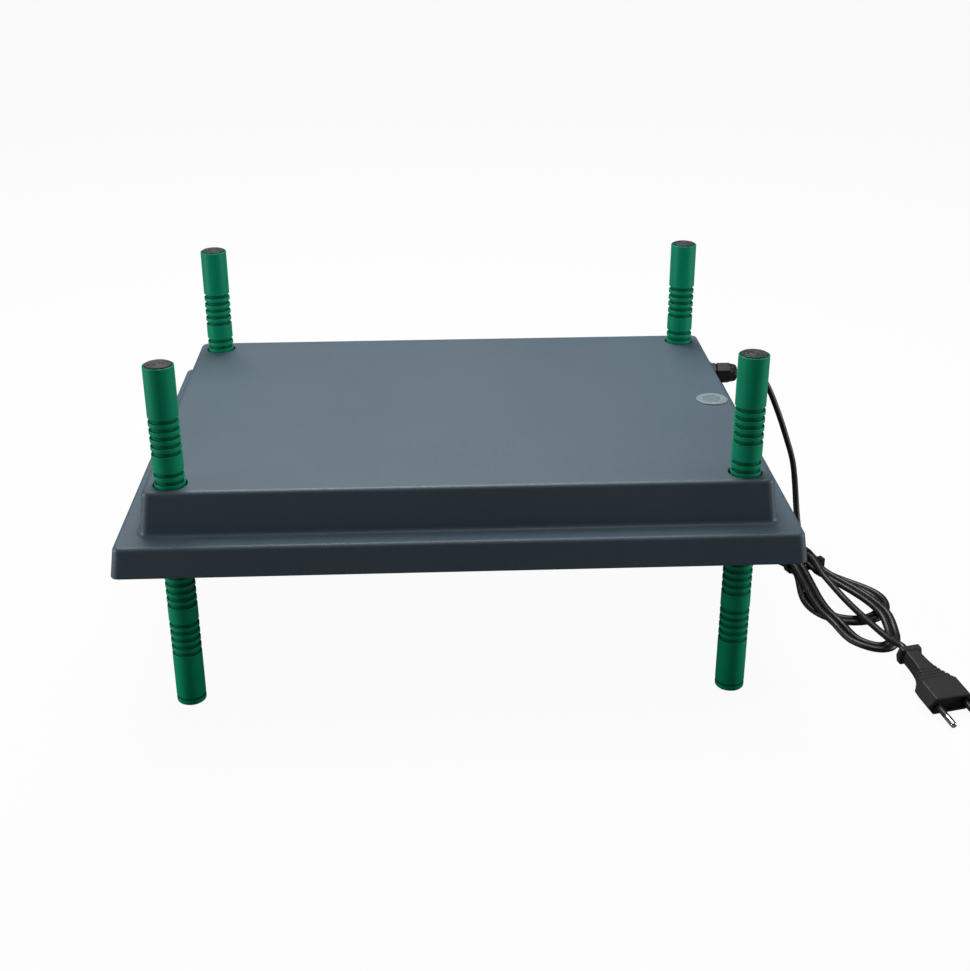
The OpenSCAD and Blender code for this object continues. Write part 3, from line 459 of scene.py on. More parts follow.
def cut(piece: bpy.types.Object, tool: bpy.types.Object, operation: str = "DIFFERENCE") -> None:
    """Cut a piece with a tool shape, or join the two, and throw the tool away."""
    apply_modifier(piece, "BOOLEAN", object=tool, operation=operation, solver="EXACT")
    bpy.data.objects.remove(tool, do_unlink=True)


def dress(piece: bpy.types.Object, finish: Finish, body: str, slot: str, *nodes: str) -> bpy.types.Object:
    """Give a piece its finish, its body and the nodes that it stands for.

    Args:
        piece: The finished piece.
        finish: Its finish.
        body: The body that it moves with.
        slot: The record's material slot. Not used.
        nodes: The frame's nodes that it replaces.

    Returns:
        The piece.
    """
    if not piece.data.materials:
        piece.data.materials.append(finish.material())
    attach(piece, body)
    if nodes:
        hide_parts(*nodes)
    log.info("%s: %d faces, rides on %s", piece.name, len(piece.data.polygons), body)
    return piece


@dataclass(frozen=True)
class Lamp:
    """A square soft lamp that faces the plate, with the length of its side and its power in watts."""

    name: str
    place: tuple[float, float, float]
    size: float
    power: float

    def hang(self) -> None:
        """Hang the lamp at its place."""
        data = bpy.data.lights.new(self.name, "AREA")
        data.size = self.size * MM
        data.energy = self.power
        lamp = bpy.data.objects.new(self.name, data)
        lamp.location = Vector(self.place) * MM
        lamp.rotation_euler = (-lamp.location).to_track_quat("-Z", "Y").to_euler()
        bpy.context.collection.objects.link(lamp)


@dataclass
class Studio:
    """The pale floor, the soft lamps and the camera at the photograph's angle."""

    azimuth: float = -2.311
    elevation: float = 24.483
    roll: float = -0.246
    place: tuple[float, float, float] = (-16.3, -889.422, 492.077)
    focal_px: float = 1440.021
    frame_px: float = 971.0
    sensor: float = 36.0
    nearest: float = 50.0
    lamps: tuple[Lamp, ...] = (
        Lamp("key_lamp", (-100, 620, 1260), 800, 14.6),
        Lamp("top_lamp", (150, -20, 1400), 800, 4.8),
        Lamp("left_lamp", (-1350, -230, 300), 600, 8.2),
        Lamp("right_lamp", (1400, -200, 300), 600, 7.2),
        Lamp("front_lamp", (0, -560, 1250), 350, 0.2),
    )
    ambient: float = 0.045
    floor_side: float = 16000.0
    floor_glow: float = 0.95
    floor_bounce: str = "#727272"
    floor_roughness: float = 0.9
    floor_paper: tuple[float, float, float, float] = (0.8, 0.8, 0.8, 1.0)
    white: tuple[float, float, float, float] = (1.0, 1.0, 1.0, 1.0)

    def build(self) -> None:
        """Set the camera, the lamps, the floor and the world."""
        self.set_camera()
        for lamp in self.lamps:
            lamp.hang()
        self.set_floor()
        self.set_world()
        bpy.context.scene.view_settings.view_transform = "Standard"

    def set_camera(self) -> None:
        """Aim the camera from its angles."""
        turn, lift, tilt = (math.radians(a) for a in (self.azimuth, self.elevation, self.roll))
        back = Vector((math.sin(turn) * math.cos(lift), -math.cos(turn) * math.cos(lift), math.sin(lift)))
        right = Vector((math.cos(turn), math.sin(turn), 0))
        up = back.cross(right)
        across = right * math.cos(tilt) + up * math.sin(tilt)
        above = up * math.cos(tilt) - right * math.sin(tilt)
        data = bpy.data.cameras.new("camera")
        data.sensor_width = self.sensor
        data.lens = self.focal_px * self.sensor / self.frame_px
        data.clip_start = self.nearest * MM
        camera = bpy.data.objects.new("camera", data)
        aim = Matrix((across, above, back)).transposed().to_4x4()
        aim.translation = Vector(self.place) * MM
        camera.matrix_world = aim
        bpy.context.collection.objects.link(camera)
        bpy.context.scene.camera = camera

    def set_floor(self) -> None:
        """Lay the floor, white to the eye, dark to the light that bounces off it."""
        bpy.ops.mesh.primitive_plane_add(size=self.floor_side * MM, location=(0, 0, 0))
        floor = bpy.context.object
        floor.name = "floor"
        paint = bpy.data.materials.new("pale_floor")
        paint.use_nodes = True
        tree = paint.node_tree
        shader = tree.nodes["Principled BSDF"]
        shader.inputs["Base Color"].default_value = linear(self.floor_bounce)
        shader.inputs["Roughness"].default_value = self.floor_roughness
        shader.inputs["Specular IOR Level"].default_value = 0.0
        paper = add_node(tree, "ShaderNodeBsdfDiffuse", {"Color": self.floor_paper})
        white = add_node(tree, "ShaderNodeEmission", {"Color": self.white, "Strength": 1.0})
        bright = add_node(tree, "ShaderNodeMixShader", {
            0: self.floor_glow, 1: paper.outputs[0], 2: white.outputs[0]})
        blend = add_node(tree, "ShaderNodeMixShader", {
            0: self.seen_directly(tree), 1: shader.outputs[0], 2: bright.outputs[0]})
        tree.links.new(blend.outputs[0], tree.nodes["Material Output"].inputs["Surface"])
        floor.data.materials.append(paint)

    def seen_directly(self, tree: bpy.types.NodeTree) -> bpy.types.NodeSocket:
        """Tell apart what the eye sees directly or through glass.

        Args:
            tree: The node tree that asks.

        Returns:
            A socket that is 1 for what is seen so, and 0 for light that bounces.
        """
        path = add_node(tree, "ShaderNodeLightPath")
        seen = add_node(tree, "ShaderNodeMath", {
            0: path.outputs["Is Camera Ray"], 1: path.outputs["Is Transmission Ray"]}, operation="MAXIMUM")
        return seen.outputs[0]

    def set_world(self) -> None:
        """Fill the room with a dim even light behind a white backdrop."""
        world = bpy.data.worlds.new("studio_world")
        world.use_nodes = True
        tree = world.node_tree
        share = add_node(tree, "ShaderNodeMapRange", {
            "Value": self.seen_directly(tree), "To Min": self.ambient, "To Max": 1.0})
        tree.links.new(share.outputs[0], tree.nodes["Background"].inputs["Strength"])
        tree.nodes["Background"].inputs["Color"].default_value = self.white
        bpy.context.scene.world = world


@dataclass
class Housing:
    """The stepped cover with its leg holes, and the pilot lens in it."""

    width: float = 400.0
    depth: float = 303.0
    flare: float = 2.0
    skirt_z: float = 102.0
    skirt_top: float = 120.5
    top_z: float = 147.0
    step: tuple[float, float] = (13.5, 15.5)
    draft: float = 2.5
    wall: float = 2.5
    skirt_corner: float = 5.0
    box_corner: float = 5.5
    inner_skirt_corner: float = 3.5
    inner_box_corner: float = 4.0
    rim_corner: float = 4.0
    ceiling_corner: float = 3.0
    ceiling_inset: float = 4.0
    edge: float = 2.6
    foot: float = 2.6
    rim: float = 0.7
    top_band: float = 0.6
    rim_steps: int = 3
    arc_steps: int = 6
    corner_steps: int = 8
    leg_hole_r: float = 10.0
    leg_hole_mouth: float = 0.6
    # How far a hole's cutter reaches below the top face and above it
    hole_reach: tuple[float, float] = (6.0, 3.0)
    lens_place: tuple[float, float] = (170.5, -2.5)
    lens_r: float = 10.4
    lens_window_r: float = 6.0
    lens_t: float = 1.0
    lens_edge: float = 0.6
    lens_bevel: tuple[float, float] = (0.1, 0.15)
    # Distance outside the window and depth, for each point of the step down to it
    window_step: tuple = ((0.5, 0.0), (0.15, 0.12), (0.0, 0.4))
    window_inset: float = 0.2
    lens_stem_r: float = 5.5
    lens_stem_l: float = 9.0
    lens_stem_wall: float = 1.1
    lens_hole_gap: float = 0.1
    lens_hole_mouth: float = 0.2
    gland_hole_r: float = 5.7
    # How far the bore's cutter reaches into the wall and out of it
    bore_reach: tuple[float, float] = (9.0, 4.0)
    gland_pad_r: float = 8.79
    pad_edge: float = 0.5
    pad_root: float = 2.2

    def section(self, inset: tuple[float, float], corner: float, z: float) -> Ring:
        """Draw a rounded rectangle at a height.

        Args:
            inset: How far it is drawn in from the skirt, at the sides and at the front and back.
            corner: Radius of its corners.
            z: Its height.

        Returns:
            The section's points.
        """
        outline = rectangle(self.width - 2 * inset[0], self.depth - 2 * inset[1])
        return level(rounded_polygon(outline, corner, self.corner_steps), z)

    def skin(self) -> list[Ring]:
        """Draw the cover's sections from the ceiling inside, down to the rim, and up the outside.

        Returns:
            The sections, the last one on the top face.
        """
        plain = (0.0, 0.0)
        flared = inward(plain, -self.flare)
        inner_box = inward(self.step, self.wall)
        shoulder = inward(self.step, self.draft)
        ceiling = self.top_z - self.wall
        ledge = self.skirt_top - self.wall
        rim_z = self.skirt_z + self.rim
        rings = [self.section(*row) for row in (
            (inward(inner_box, self.draft + self.ceiling_inset), self.ceiling_corner, ceiling),
            (inward(inner_box, self.draft), self.inner_box_corner, ceiling),
            (inner_box, self.inner_box_corner, ledge),
            (inward(plain, self.wall), self.inner_skirt_corner, ledge),
            (inward(plain, self.wall - self.flare), self.inner_skirt_corner, rim_z),
            (inward(plain, self.wall - self.rim - self.flare), self.rim_corner, self.skirt_z))]
        # The four rounded edges of the outside: where each starts, its corner and its arc
        for base, corner, *curve in (
                (flared, self.skirt_corner, (self.rim, rim_z), self.rim, 270, 180, self.rim_steps),
                (plain, self.skirt_corner, (self.edge, self.skirt_top - self.edge),
                 self.edge, 180, 90, self.arc_steps),
                (self.step, self.box_corner, (-self.foot, self.skirt_top + self.foot),
                 self.foot, 270, 360, self.arc_steps),
                (shoulder, self.box_corner, (self.edge, self.top_z - self.edge),
                 self.edge, 180, 90, self.arc_steps)):
            rings += [self.section(inward(base, x), corner - x, z) for x, z in arc(*curve)]
        band = inward(shoulder, self.edge + self.top_band)
        return rings + [self.section(band, self.box_corner - self.edge, self.top_z)]

    def hole_cutter(self, radius: float, mouth: float) -> bpy.types.Object:
        """Model a round cutter through the cover's top, with a rounded mouth.

        Args:
            radius: The hole's radius.
            mouth: How far its mouth opens out.

        Returns:
            The cutter, about the Z axis.
        """
        below, above = self.hole_reach
        curve = [(radius + mouth - mouth * math.cos(a), self.top_z - mouth + mouth * math.sin(a))
                 for a in (0.0, 0.5, 1.0, math.pi / 2)]
        profile = [(radius, self.top_z - below)] + curve + [(radius + mouth, self.top_z + above)]
        return turn_on_lathe("hole_cutter", profile)

    def build_cover(self) -> None:
        """Loft the shell, join the gland's pad and cut the holes."""
        cover = loft("cover_shell", self.skin())
        pad = turn_on_lathe("pad", [(self.gland_pad_r, -self.pad_root), (self.gland_pad_r, -self.pad_edge),
                                    (self.gland_pad_r - self.pad_edge, 0)])
        cut(cover, put(pad, gland_axes()), "UNION")
        within, without = self.bore_reach
        bore = turn_on_lathe("bore", [(self.gland_hole_r, -within), (self.gland_hole_r, without)])
        cut(cover, put(bore, gland_axes()))
        leg_hole = self.hole_cutter(self.leg_hole_r, self.leg_hole_mouth)
        for corner in Corner:
            cut(cover, put(twin(leg_hole, f"hole_{corner.tag}"), corner.stand))
        bpy.data.objects.remove(leg_hole, do_unlink=True)
        lens_hole = self.hole_cutter(self.lens_stem_r + self.lens_hole_gap, self.lens_hole_mouth)
        cut(cover, put(lens_hole, Matrix.Translation((*self.lens_place, 0))))
        dress(soften(cover), SLATE, "housing", "cover_plastic", "top_cover")

    def build_lens(self) -> None:
        """Turn the pilot lens: a thin round flange with a sunk window and a hollow stem."""
        window, stem, top = self.lens_window_r, self.lens_stem_r, self.lens_t
        profile = [(stem - self.lens_stem_wall, -self.lens_stem_l), (stem, -self.lens_stem_l),
                   (stem, -CLEAR), (self.lens_r - self.lens_bevel[0], 0.0),
                   (self.lens_r, self.lens_bevel[1])]
        profile += arc((self.lens_r - self.lens_edge, top - self.lens_edge), self.lens_edge, 0, 90, 4)
        profile += [(window + aside, top - sunk) for aside, sunk in self.window_step]
        lens = turn_on_lathe("pilot_lens_disc", profile)
        lens.data.materials.append(LENS.material())
        lens.data.materials.append(LENS_WINDOW.material())
        # Painted shade: the faces of the sunk window take the darker finish
        for face in lens.data.polygons:
            middle = face.center
            inside = math.hypot(middle.x, middle.y) < (window - self.window_inset) * MM
            face.material_index = int(inside and middle.z > 0)
        put(lens, Matrix.Translation((*self.lens_place, self.top_z)))
        dress(soften(lens), LENS, "housing", "lens_plastic", "pilot_lens")


@dataclass
class Legs:
    """The four grooved legs, each with the cap in its top and the foot under it."""

    radius: float = 9.0
    length: float = 220.0
    rim_r: float = 0.45
    foot_h: float = 4.2
    foot_edge: float = 1.4
    foot_inset: float = 1.6
    plain: float = 32.0
    groove_pitch: float = 5.0
    group_pitch: float = 33.0
    grooves: int = 5
    groups: int = 5
    # Height from a groove's middle and depth, for each point across a groove
    groove_shape: tuple = ((-1.5, 0.0), (-1.3, 0.12), (-1.2, 0.4), (-1.1, 1.15), (-0.6, 1.35),
                           (0.6, 1.35), (1.1, 1.15), (1.2, 0.4), (1.3, 0.12), (1.5, 0.0))
    # Faces deeper than this under the leg's radius get the painted groove shade
    groove_shade_from: float = 0.3
    cap_r: float = 7.8
    cap_t: float = 2.0
    cap_rise: float = 0.7
    cap_edge: float = 0.5
    cap_gap: float = 0.12
    # Radii of the two rings in the cap's face, and across each ring the distance from it and the depth
    cap_rings: tuple[float, float] = (5.6, 3.0)
    ring_shape: tuple = ((0.45, 0.0), (0.2, 0.2), (-0.2, 0.2), (-0.45, 0.0))
    dimple: tuple = ((1.1, 0.0), (0.8, 0.15), (0.3, 0.2))
    seat_bevel: float = 0.25
    seam: float = 0.8
    seam_depth: float = 1.1
    seam_bevel: float = 0.2
    seam_taper: float = 0.1
    seat_gap: float = 0.05
    shade_angle: float = 50.0

    def leg_profile(self) -> Outline:
        """Draw the leg: up its side with the grooves, over the rim and down to the cap's seat.

        Returns:
            Radius and height of each point.
        """
        deep = self.radius - self.seam_depth
        seam_top = self.foot_h + self.seam
        points = [(deep, self.foot_h + CLEAR), (deep, seam_top - self.seam_taper),
                  (self.radius - self.seam_bevel, seam_top), (self.radius, seam_top + self.seam_bevel)]
        depths = [self.plain + group * self.group_pitch + i * self.groove_pitch
                  for group in range(self.groups) for i in range(self.grooves)]
        for depth in sorted(depths, reverse=True):
            middle = self.length - depth
            points += [(self.radius - cut_in, middle + rise) for rise, cut_in in self.groove_shape]
        points += arc((self.radius - self.rim_r, self.length - self.rim_r), self.rim_r, 0, 90, 4)
        seat = self.cap_r + self.cap_gap
        points += [(seat + self.seat_bevel, self.length), (seat, self.length - self.seat_bevel)]
        points.append((seat, self.length + self.cap_rise - self.cap_t - self.seat_gap))
        return points

    def cap_profile(self) -> Outline:
        """Draw the cap: a disc with two rings and a dimple pressed into its face.

        Returns:
            Radius and height of each point.
        """
        top = self.length + self.cap_rise
        points = [(self.cap_r, top - self.cap_t)]
        points += arc((self.cap_r - self.cap_edge, top - self.cap_edge), self.cap_edge, 0, 90, 4)
        for ring in self.cap_rings:
            points += [(ring + aside, top - sunk) for aside, sunk in self.ring_shape]
        return points + [(radius, top - sunk) for radius, sunk in self.dimple]

    def foot_profile(self) -> Outline:
        """Draw the foot: round below, with a seam under the leg that is dark from its depth and from
        painted shade.

        Returns:
            Radius and height of each point.
        """
        deep = self.radius - self.seam_depth
        seam_low = self.foot_h - self.seam
        points = [(self.radius - self.foot_inset, 0.0)]
        points += arc((self.radius - self.foot_edge, self.foot_edge), self.foot_edge, 285, 360, 5)
        points += [(self.radius, seam_low - self.seam_bevel), (self.radius - self.seam_bevel, seam_low)]
        return points + [(deep, seam_low + self.seam_taper), (deep, self.foot_h - CLEAR)]

    def build(self) -> None:
        """Turn the three pieces once and stand a copy of each in every corner."""
        for name, profile, finish, slot in (
                ("leg", self.leg_profile(), GREEN, "leg_plastic"),
                ("cap", self.cap_profile(), CHARCOAL, "cap_plastic"),
                ("foot", self.foot_profile(), GREEN, "leg_plastic")):
            pattern = soften(turn_on_lathe(name, profile), self.shade_angle)
            pattern.data.materials.append(finish.material())
            # Painted shade: faces deep in the grooves and in the seam, above the floor, take the darker
            # green finish
            pattern.data.materials.append(GREEN_GROOVE_SHADE.material())
            for face in pattern.data.polygons:
                deep = math.hypot(face.center.x, face.center.y) < (self.radius - self.groove_shade_from) * MM
                face.material_index = int(deep and finish is GREEN and face.center.z > self.seam * MM)
            for corner in Corner:
                piece = put(twin(pattern, f"{name}_{corner.tag}_turned"), corner.stand)
                dress(piece, finish, f"{corner.tag}_leg", slot, f"{name}_{corner.tag}")
            bpy.data.objects.remove(pattern, do_unlink=True)


@dataclass
class Gland:
    """The cable gland on the right wall: a hexagon body and a dome nut with a notched mouth."""

    flats: float = 13.5
    body_l: float = 5.0
    thread_r: float = 5.3
    thread_l: float = 7.0
    nut_l: float = 15.5
    nut_gap: float = 0.5
    nut_hex: float = 10.0
    # For each hexagon: how much narrower it is than the flats, its corners' radius, its way from the end
    body_rear: tuple = ((0.8, 1.0, 0.02), (0.0, 1.0, 0.4))
    body_front: tuple = ((0.0, 1.0, -0.5), (0.9, 1.0, 0.0))
    nut_rear: tuple = ((0.9, 1.0, 0.0), (0.0, 1.0, 0.5))
    nut_front: tuple = ((0.0, 1.2, -1.0), (0.7, 2.5, 0.0))
    dome_r: float = 4.9
    dome_inset: float = 0.3
    dome_from: float = 0.12
    mouth_edge: float = 0.4
    dome_steps: int = 7
    mouth_r: float = 4.3
    lip_r: float = 2.7
    lip_bevel: float = 0.5
    lip_l: float = 4.0
    slots: int = 4
    slot_size: tuple[float, float] = (15.0, 0.9)
    slot_reach: tuple[float, float] = (1.9, 1.0)
    corner_steps: int = 7

    def hex_rings(self, rows: Sequence[tuple[float, float, float]], end: float) -> list[Ring]:
        """Draw hexagons with rounded corners.

        Args:
            rows: How much narrower each is than the flats, its corners' radius and its way from the end.
            end: Distance of that end from the seat.

        Returns:
            The sections.
        """
        return [level(rounded_polygon(hexagon(self.flats - less), corner, self.corner_steps), end + x)
                for less, corner, x in rows]

    def round_ring(self, radius: float, x: float) -> Ring:
        """Draw a circle with the hexagon's count of points.

        Args:
            radius: Its radius.
            x: Its distance from the seat.

        Returns:
            The section's points.
        """
        count = 6 * (self.corner_steps + 1)
        start = math.radians(-30)
        turns = [start + math.tau * (k + 0.5) / count for k in range(count)]
        return [Vector((radius * math.cos(a), radius * math.sin(a), x)) for a in turns]

    def nut_rings(self) -> list[Ring]:
        """Draw the nut: a hexagon, a dome and the mouth that goes back into it.

        Returns:
            The sections in that order.
        """
        start = self.body_l + self.nut_gap
        hex_end = start + self.nut_hex
        end = self.body_l + self.nut_l
        rings = self.hex_rings(self.nut_rear, start) + self.hex_rings(self.nut_front, hex_end)
        for k in range(1, self.dome_steps + 1):
            t = k / self.dome_steps
            radius = mix(self.flats / 2 - self.dome_inset, self.dome_r, t ** 3)
            x = hex_end + (end - hex_end) * mix(self.dome_from, 1.0, t) - self.mouth_edge * (t == 1)
            rings.append(self.round_ring(radius, x))
        lip = self.lip_r
        return rings + [self.round_ring(self.mouth_r, end), self.round_ring(lip + self.lip_bevel, end),
                        self.round_ring(lip, end - self.lip_bevel), self.round_ring(lip, end - self.lip_l)]

    def build(self) -> list[bpy.types.Object]:
        """Loft both pieces along the gland's axis and set them on the wall.

        Returns:
            The body and the dome nut.
        """
        rings = self.hex_rings(self.body_rear, 0) + self.hex_rings(self.body_front, self.body_l)
        rings += [self.round_ring(self.thread_r, self.body_l + x) for x in (CLEAR, self.thread_l)]
        body = put(loft("gland_hexagon", rings), gland_axes())
        dress(soften(body), NYLON, "housing", "black_plastic", "gland_body")
        nut = loft("gland_dome", self.nut_rings())
        end = self.body_l + self.nut_l
        outline = rectangle(*self.slot_size)
        deep, above = self.slot_reach
        slot = loft("slot", [level(outline, end - deep), level(outline, end + above)])
        for k in range(self.slots):
            turn = math.radians(180 / self.slots * (k + 0.5))
            cut(nut, put(twin(slot, f"slot_{k}"), Matrix.Rotation(turn, 4, "Z")))
        bpy.data.objects.remove(slot, do_unlink=True)
        put(nut, gland_axes())
        dress(soften(nut), NYLON, "housing", "black_plastic", "gland_dome_nut")
        return [body, nut]


@dataclass
class MainsLead:
    """The black flat flex: from the gland to the floor, folded in a tied hank, and on to the plug.

    Points of the hank are given from its waist on the floor: a along it, to the front, and b across it, to
    the right.
    """

    width: float = 4.7
    height: float = 4.3
    cad_d: float = 4.4
    sides: int = 16
    shade_angle: float = 60.0
    turns: int = 4
    step: float = 5.2
    rise: float = 4.95
    at: tuple[float, float] = (251.0, 30.0)
    turn: float = 13.5
    bend: float = 25.0
    bend_from: float = 10.0
    bend_to: float = -30.0
    waist_b: float = 12.0
    waist_run: float = 10.4
    fold_r: tuple[float, float] = (29.0, 25.0)
    fold_a: tuple[float, float] = (55.0, 76.0)
    fold_long: tuple[float, float] = (1.05, 1.9)
    loop_shift: tuple[float, float] = (5.0, 0.5)
    shift_span: tuple[float, float] = (5.0, 60.0)
    rear_fold_r: float = 23.0
    rear_fold_a: float = 58.0
    turn_steps: int = 24
    run_steps: float = 4.0
    fold_steps: float = 6.0
    rear_run_steps: float = 2.5
    rear_fold_steps: float = 5.0
    waist_lift: float = 1.75
    lift_reach: float = 14.0
    droop: tuple[float, float] = (83.0, 105.0)
    floor_gap: float = 0.05
    start_a: float = 6.0
    climb: float = 0.1
    front_lean: float = 0.5
    rear_lean: float = 0.0
    lead_cuts: int = 6
    hank_cuts: int = 4
    mouth: tuple[float, float, float] = (206.766, 91.0, 131.5)
    mouth_reach: tuple[float, float] = (-3.0, 2.0)
    # Points of the lead from the gland down to the floor, and its way into the hank
    lead_points: tuple = ((222, 91, 129.5), (230.2, 91, 121.2), (239.8, 90, 100.3), (247.9, 88.5, 78.6),
                          (253, 87, 62.7), (255.6, 85, 47.1), (257.6, 80, 25), (258.2, 72, 12.4),
                          (258.5, 61, 5.9), (258.8, 50, 4.34))
    waist_entry: tuple[float, float] = (-5.0, 0.0)
    # Points from the hank to the plug, along, across and up; None is the height of the hank's top
    tail_points: tuple = ((-38, 19, 9.5), (-24, 11, 12.6), (-10, 4, None), (0, 3, None), (12, 3, None),
                          (30, 0.5, 12.2), (45, 0.5, 10.4), (62, 0.5, 9), (81, 0, 9.2), (101, -0.2, 10),
                          (121, 0, 11))
    plug_reach: tuple[float, float] = (6.0, 2.0)
    plug_rear_a: float = 142.0
    plug_b: float = 0.7
    plug_dip: float = 7.0
    plug_len: float = 53.0
    plug_t: float = 12.6

    def along(self, angle: float = 0.0) -> Vector:
        """Direction of the hank on the floor, turned on by an angle in degrees."""
        a = math.radians(self.turn + angle)
        return Vector((math.sin(a), -math.cos(a), 0))

    def across(self, angle: float = 0.0) -> Vector:
        """Direction across the hank, to its right."""
        a = math.radians(self.turn + angle)
        return Vector((math.cos(a), math.sin(a), 0))

    def bend_angle(self, a: float) -> float:
        """How far the hank has turned at a distance behind its waist."""
        share = (self.bend_from - a) / (self.bend_from - self.bend_to)
        return self.bend * min(1.0, max(0.0, share))

    def on_floor(self, a: float, b: float, z: float) -> Vector:
        """Find the place of a point that is given from the hank's waist.

        Args:
            a: Distance along the hank.
            b: Distance across it.
            z: Height.

        Returns:
            The point in the frame.
        """
        radius = (self.bend_from - self.bend_to) / math.radians(self.bend)
        origin = Vector((*self.at, 0))
        angle = self.bend_angle(a)
        bent = origin + self.along() * self.bend_from + (self.across(angle) - self.across()) * radius
        if a >= self.bend_from:
            middle = origin + self.along() * a
        elif a >= self.bend_to:
            middle = bent
        else:
            middle = bent + self.along(self.bend) * (a - self.bend_to)
        return middle + self.across(angle) * b + Vector((0, 0, z))

    def spread(self, a: float, fold_at: float, radius: float, early: float) -> float:
        """Half the hank's width at a distance from its waist.

        Args:
            a: Distance along the hank.
            fold_at: Where the fold begins.
            radius: Half the width at the fold.
            early: How far the spread leans to an early start, 0 to 1.

        Returns:
            Half the width there.
        """
        share = min(1.0, max(0.0, (a - self.waist_run) / (fold_at - self.waist_run)))
        return mix(self.waist_b, radius, mix(ease(share), math.sin(math.pi / 2 * share), early))

    def loop_point(self, s: float, inward: float, layer: float) -> tuple[float, float]:
        """Find a point of one loop: right run, front fold, left run, rear fold and back to the waist.

        Args:
            s: Steps round the loop.
            inward: How far this loop lies inside the outer one.
            layer: 0 for the lower layer and 1 for the upper.

        Returns:
            The point along the hank and across it.
        """
        radius = mix(*self.fold_r, layer)
        far = mix(*self.fold_a, layer)
        length = radius * mix(*self.fold_long, layer)
        ends = [self.run_steps, self.fold_steps, self.run_steps, self.rear_run_steps, self.rear_fold_steps]
        marks = [sum(ends[:k + 1]) for k in range(len(ends))]
        if s < marks[0]:
            a = far * s / self.run_steps
            return a, self.spread(a, far, radius, self.front_lean) - inward
        if s < marks[1]:
            q = math.radians(90 - 180 * (s - marks[0]) / self.fold_steps)
            return far + (length - inward) * math.cos(q), (radius - inward) * math.sin(q)
        if s < marks[2]:
            a = far * (marks[2] - s) / self.run_steps
            return a, inward - self.spread(a, far, radius, self.front_lean)
        rear = self.rear_fold_r
        if s < marks[3]:
            a = self.rear_fold_a * (s - marks[2]) / self.rear_run_steps
            return -a, inward - self.spread(a, self.rear_fold_a, rear, self.rear_lean)
        if s < marks[4]:
            q = math.radians(-90 + 180 * (s - marks[3]) / self.rear_fold_steps)
            return -self.rear_fold_a - (rear - inward) * math.cos(q), (rear - inward) * math.sin(q)
        a = self.rear_fold_a * (marks[4] + self.rear_run_steps - s) / self.rear_run_steps
        return -a, self.spread(a, self.rear_fold_a, rear, self.rear_lean) - inward

    def floor_z(self, a: float) -> float:
        """Height of the lowest strand's middle, lifted over the tie at the waist."""
        return self.cad_d / 2 + self.floor_gap + self.waist_lift * math.exp(-(a / self.lift_reach) ** 2)

    def hank_point(self, turns: float) -> tuple[float, float, float]:
        """Find a point of the hank.

        Args:
            turns: How many turns the lead has made.

        Returns:
            The point along the hank, across it and up.
        """
        layer = ease((turns - self.turns / 2 + self.climb) / self.climb)
        inward = self.step * min(turns, self.turns - turns)
        a, b = self.loop_point((turns % 1) * self.turn_steps, inward, layer)
        sink = ease((a - self.droop[0]) / (self.droop[1] - self.droop[0]))
        move = ease((a - self.shift_span[0]) / (self.shift_span[1] - self.shift_span[0]))
        shift = mix(*self.loop_shift, layer) * move
        return a, b + shift, self.floor_z(a) + self.rise * layer * (1 - sink)

    def hank(self) -> list[Vector]:
        """Draw the hank's line, with a few points for each of its steps.

        Returns:
            The line's points.
        """
        last = self.turns - self.rear_run_steps / self.turn_steps
        cuts = self.hank_cuts
        count = math.floor(last * self.turn_steps) * cuts
        low = self.floor_z(0)
        line = [self.on_floor(a, self.waist_b, low) for a in (self.start_a, self.start_a + self.cad_d)]
        for i in range(cuts, count + 1):
            line.append(self.on_floor(*self.hank_point(i / cuts / self.turn_steps)))
        a, b, z = self.hank_point(last)
        return line + [self.on_floor(a, b, z), self.on_floor(a + self.cad_d, b, z)]

    def plug_frame(self) -> Matrix:
        """Find the plug's axes.

        Returns:
            The middle of its rear, with x from there to its face and z up.
        """
        dip = math.radians(self.plug_dip)
        axis = self.along() * math.cos(dip) - Vector((0, 0, math.sin(dip)))
        reach = self.plug_rear_a + self.plug_len * math.cos(dip)
        face = Vector((*self.at, 0)) + self.along() * reach + self.across() * self.plug_b
        face.z = self.plug_t / 2 * math.cos(dip) + self.floor_gap
        side = self.across()
        place = Matrix((axis, side, axis.cross(side))).transposed().to_4x4()
        place.translation = face - axis * self.plug_len
        return place

    def smooth(self, points: Sequence[Vector]) -> list[Vector]:
        """Draw a smooth line through points, straight at both ends.

        Args:
            points: The points that the line passes.

        Returns:
            The line's points.
        """
        cuts = self.lead_cuts
        line = [points[0]]
        for p0, p1, p2, p3 in zip(points, points[1:], points[2:], points[3:]):
            for k in range(cuts):
                t = k / cuts
                line.append(0.5 * (2 * p1 + (p2 - p0) * t + (2 * p0 - 5 * p1 + 4 * p2 - p3) * t ** 2
                                   + (3 * p1 - p0 - 3 * p2 + p3) * t ** 3))
        return line + [points[-2], points[-1]]

    def route(self) -> list[Vector]:
        """Draw the whole lead, from the gland's mouth to the plug's rear.

        Returns:
            The points of its middle line.
        """
        low = self.floor_z(0)
        lead = [Vector((self.mouth[0] + x, *self.mouth[1:])) for x in self.mouth_reach]
        lead += [Vector(p) for p in self.lead_points]
        lead += [self.on_floor(a, self.waist_b, low) for a in (*self.waist_entry, self.start_a)]
        hank = self.hank()
        top = low + 2 * self.rise
        tail = [hank[-1], hank[-1] + (hank[-1] - hank[-2]).normalized() * self.cad_d]
        tail += [self.on_floor(a, b, top if z is None else z) for a, b, z in self.tail_points]
        rear = self.plug_frame()
        axis = rear.to_3x3() @ Vector((1, 0, 0))
        outside, within = self.plug_reach
        tail += [rear.translation - axis * outside, rear.translation + axis * within]
        return self.smooth(lead)[:-1] + hank[:-1] + self.smooth(tail)

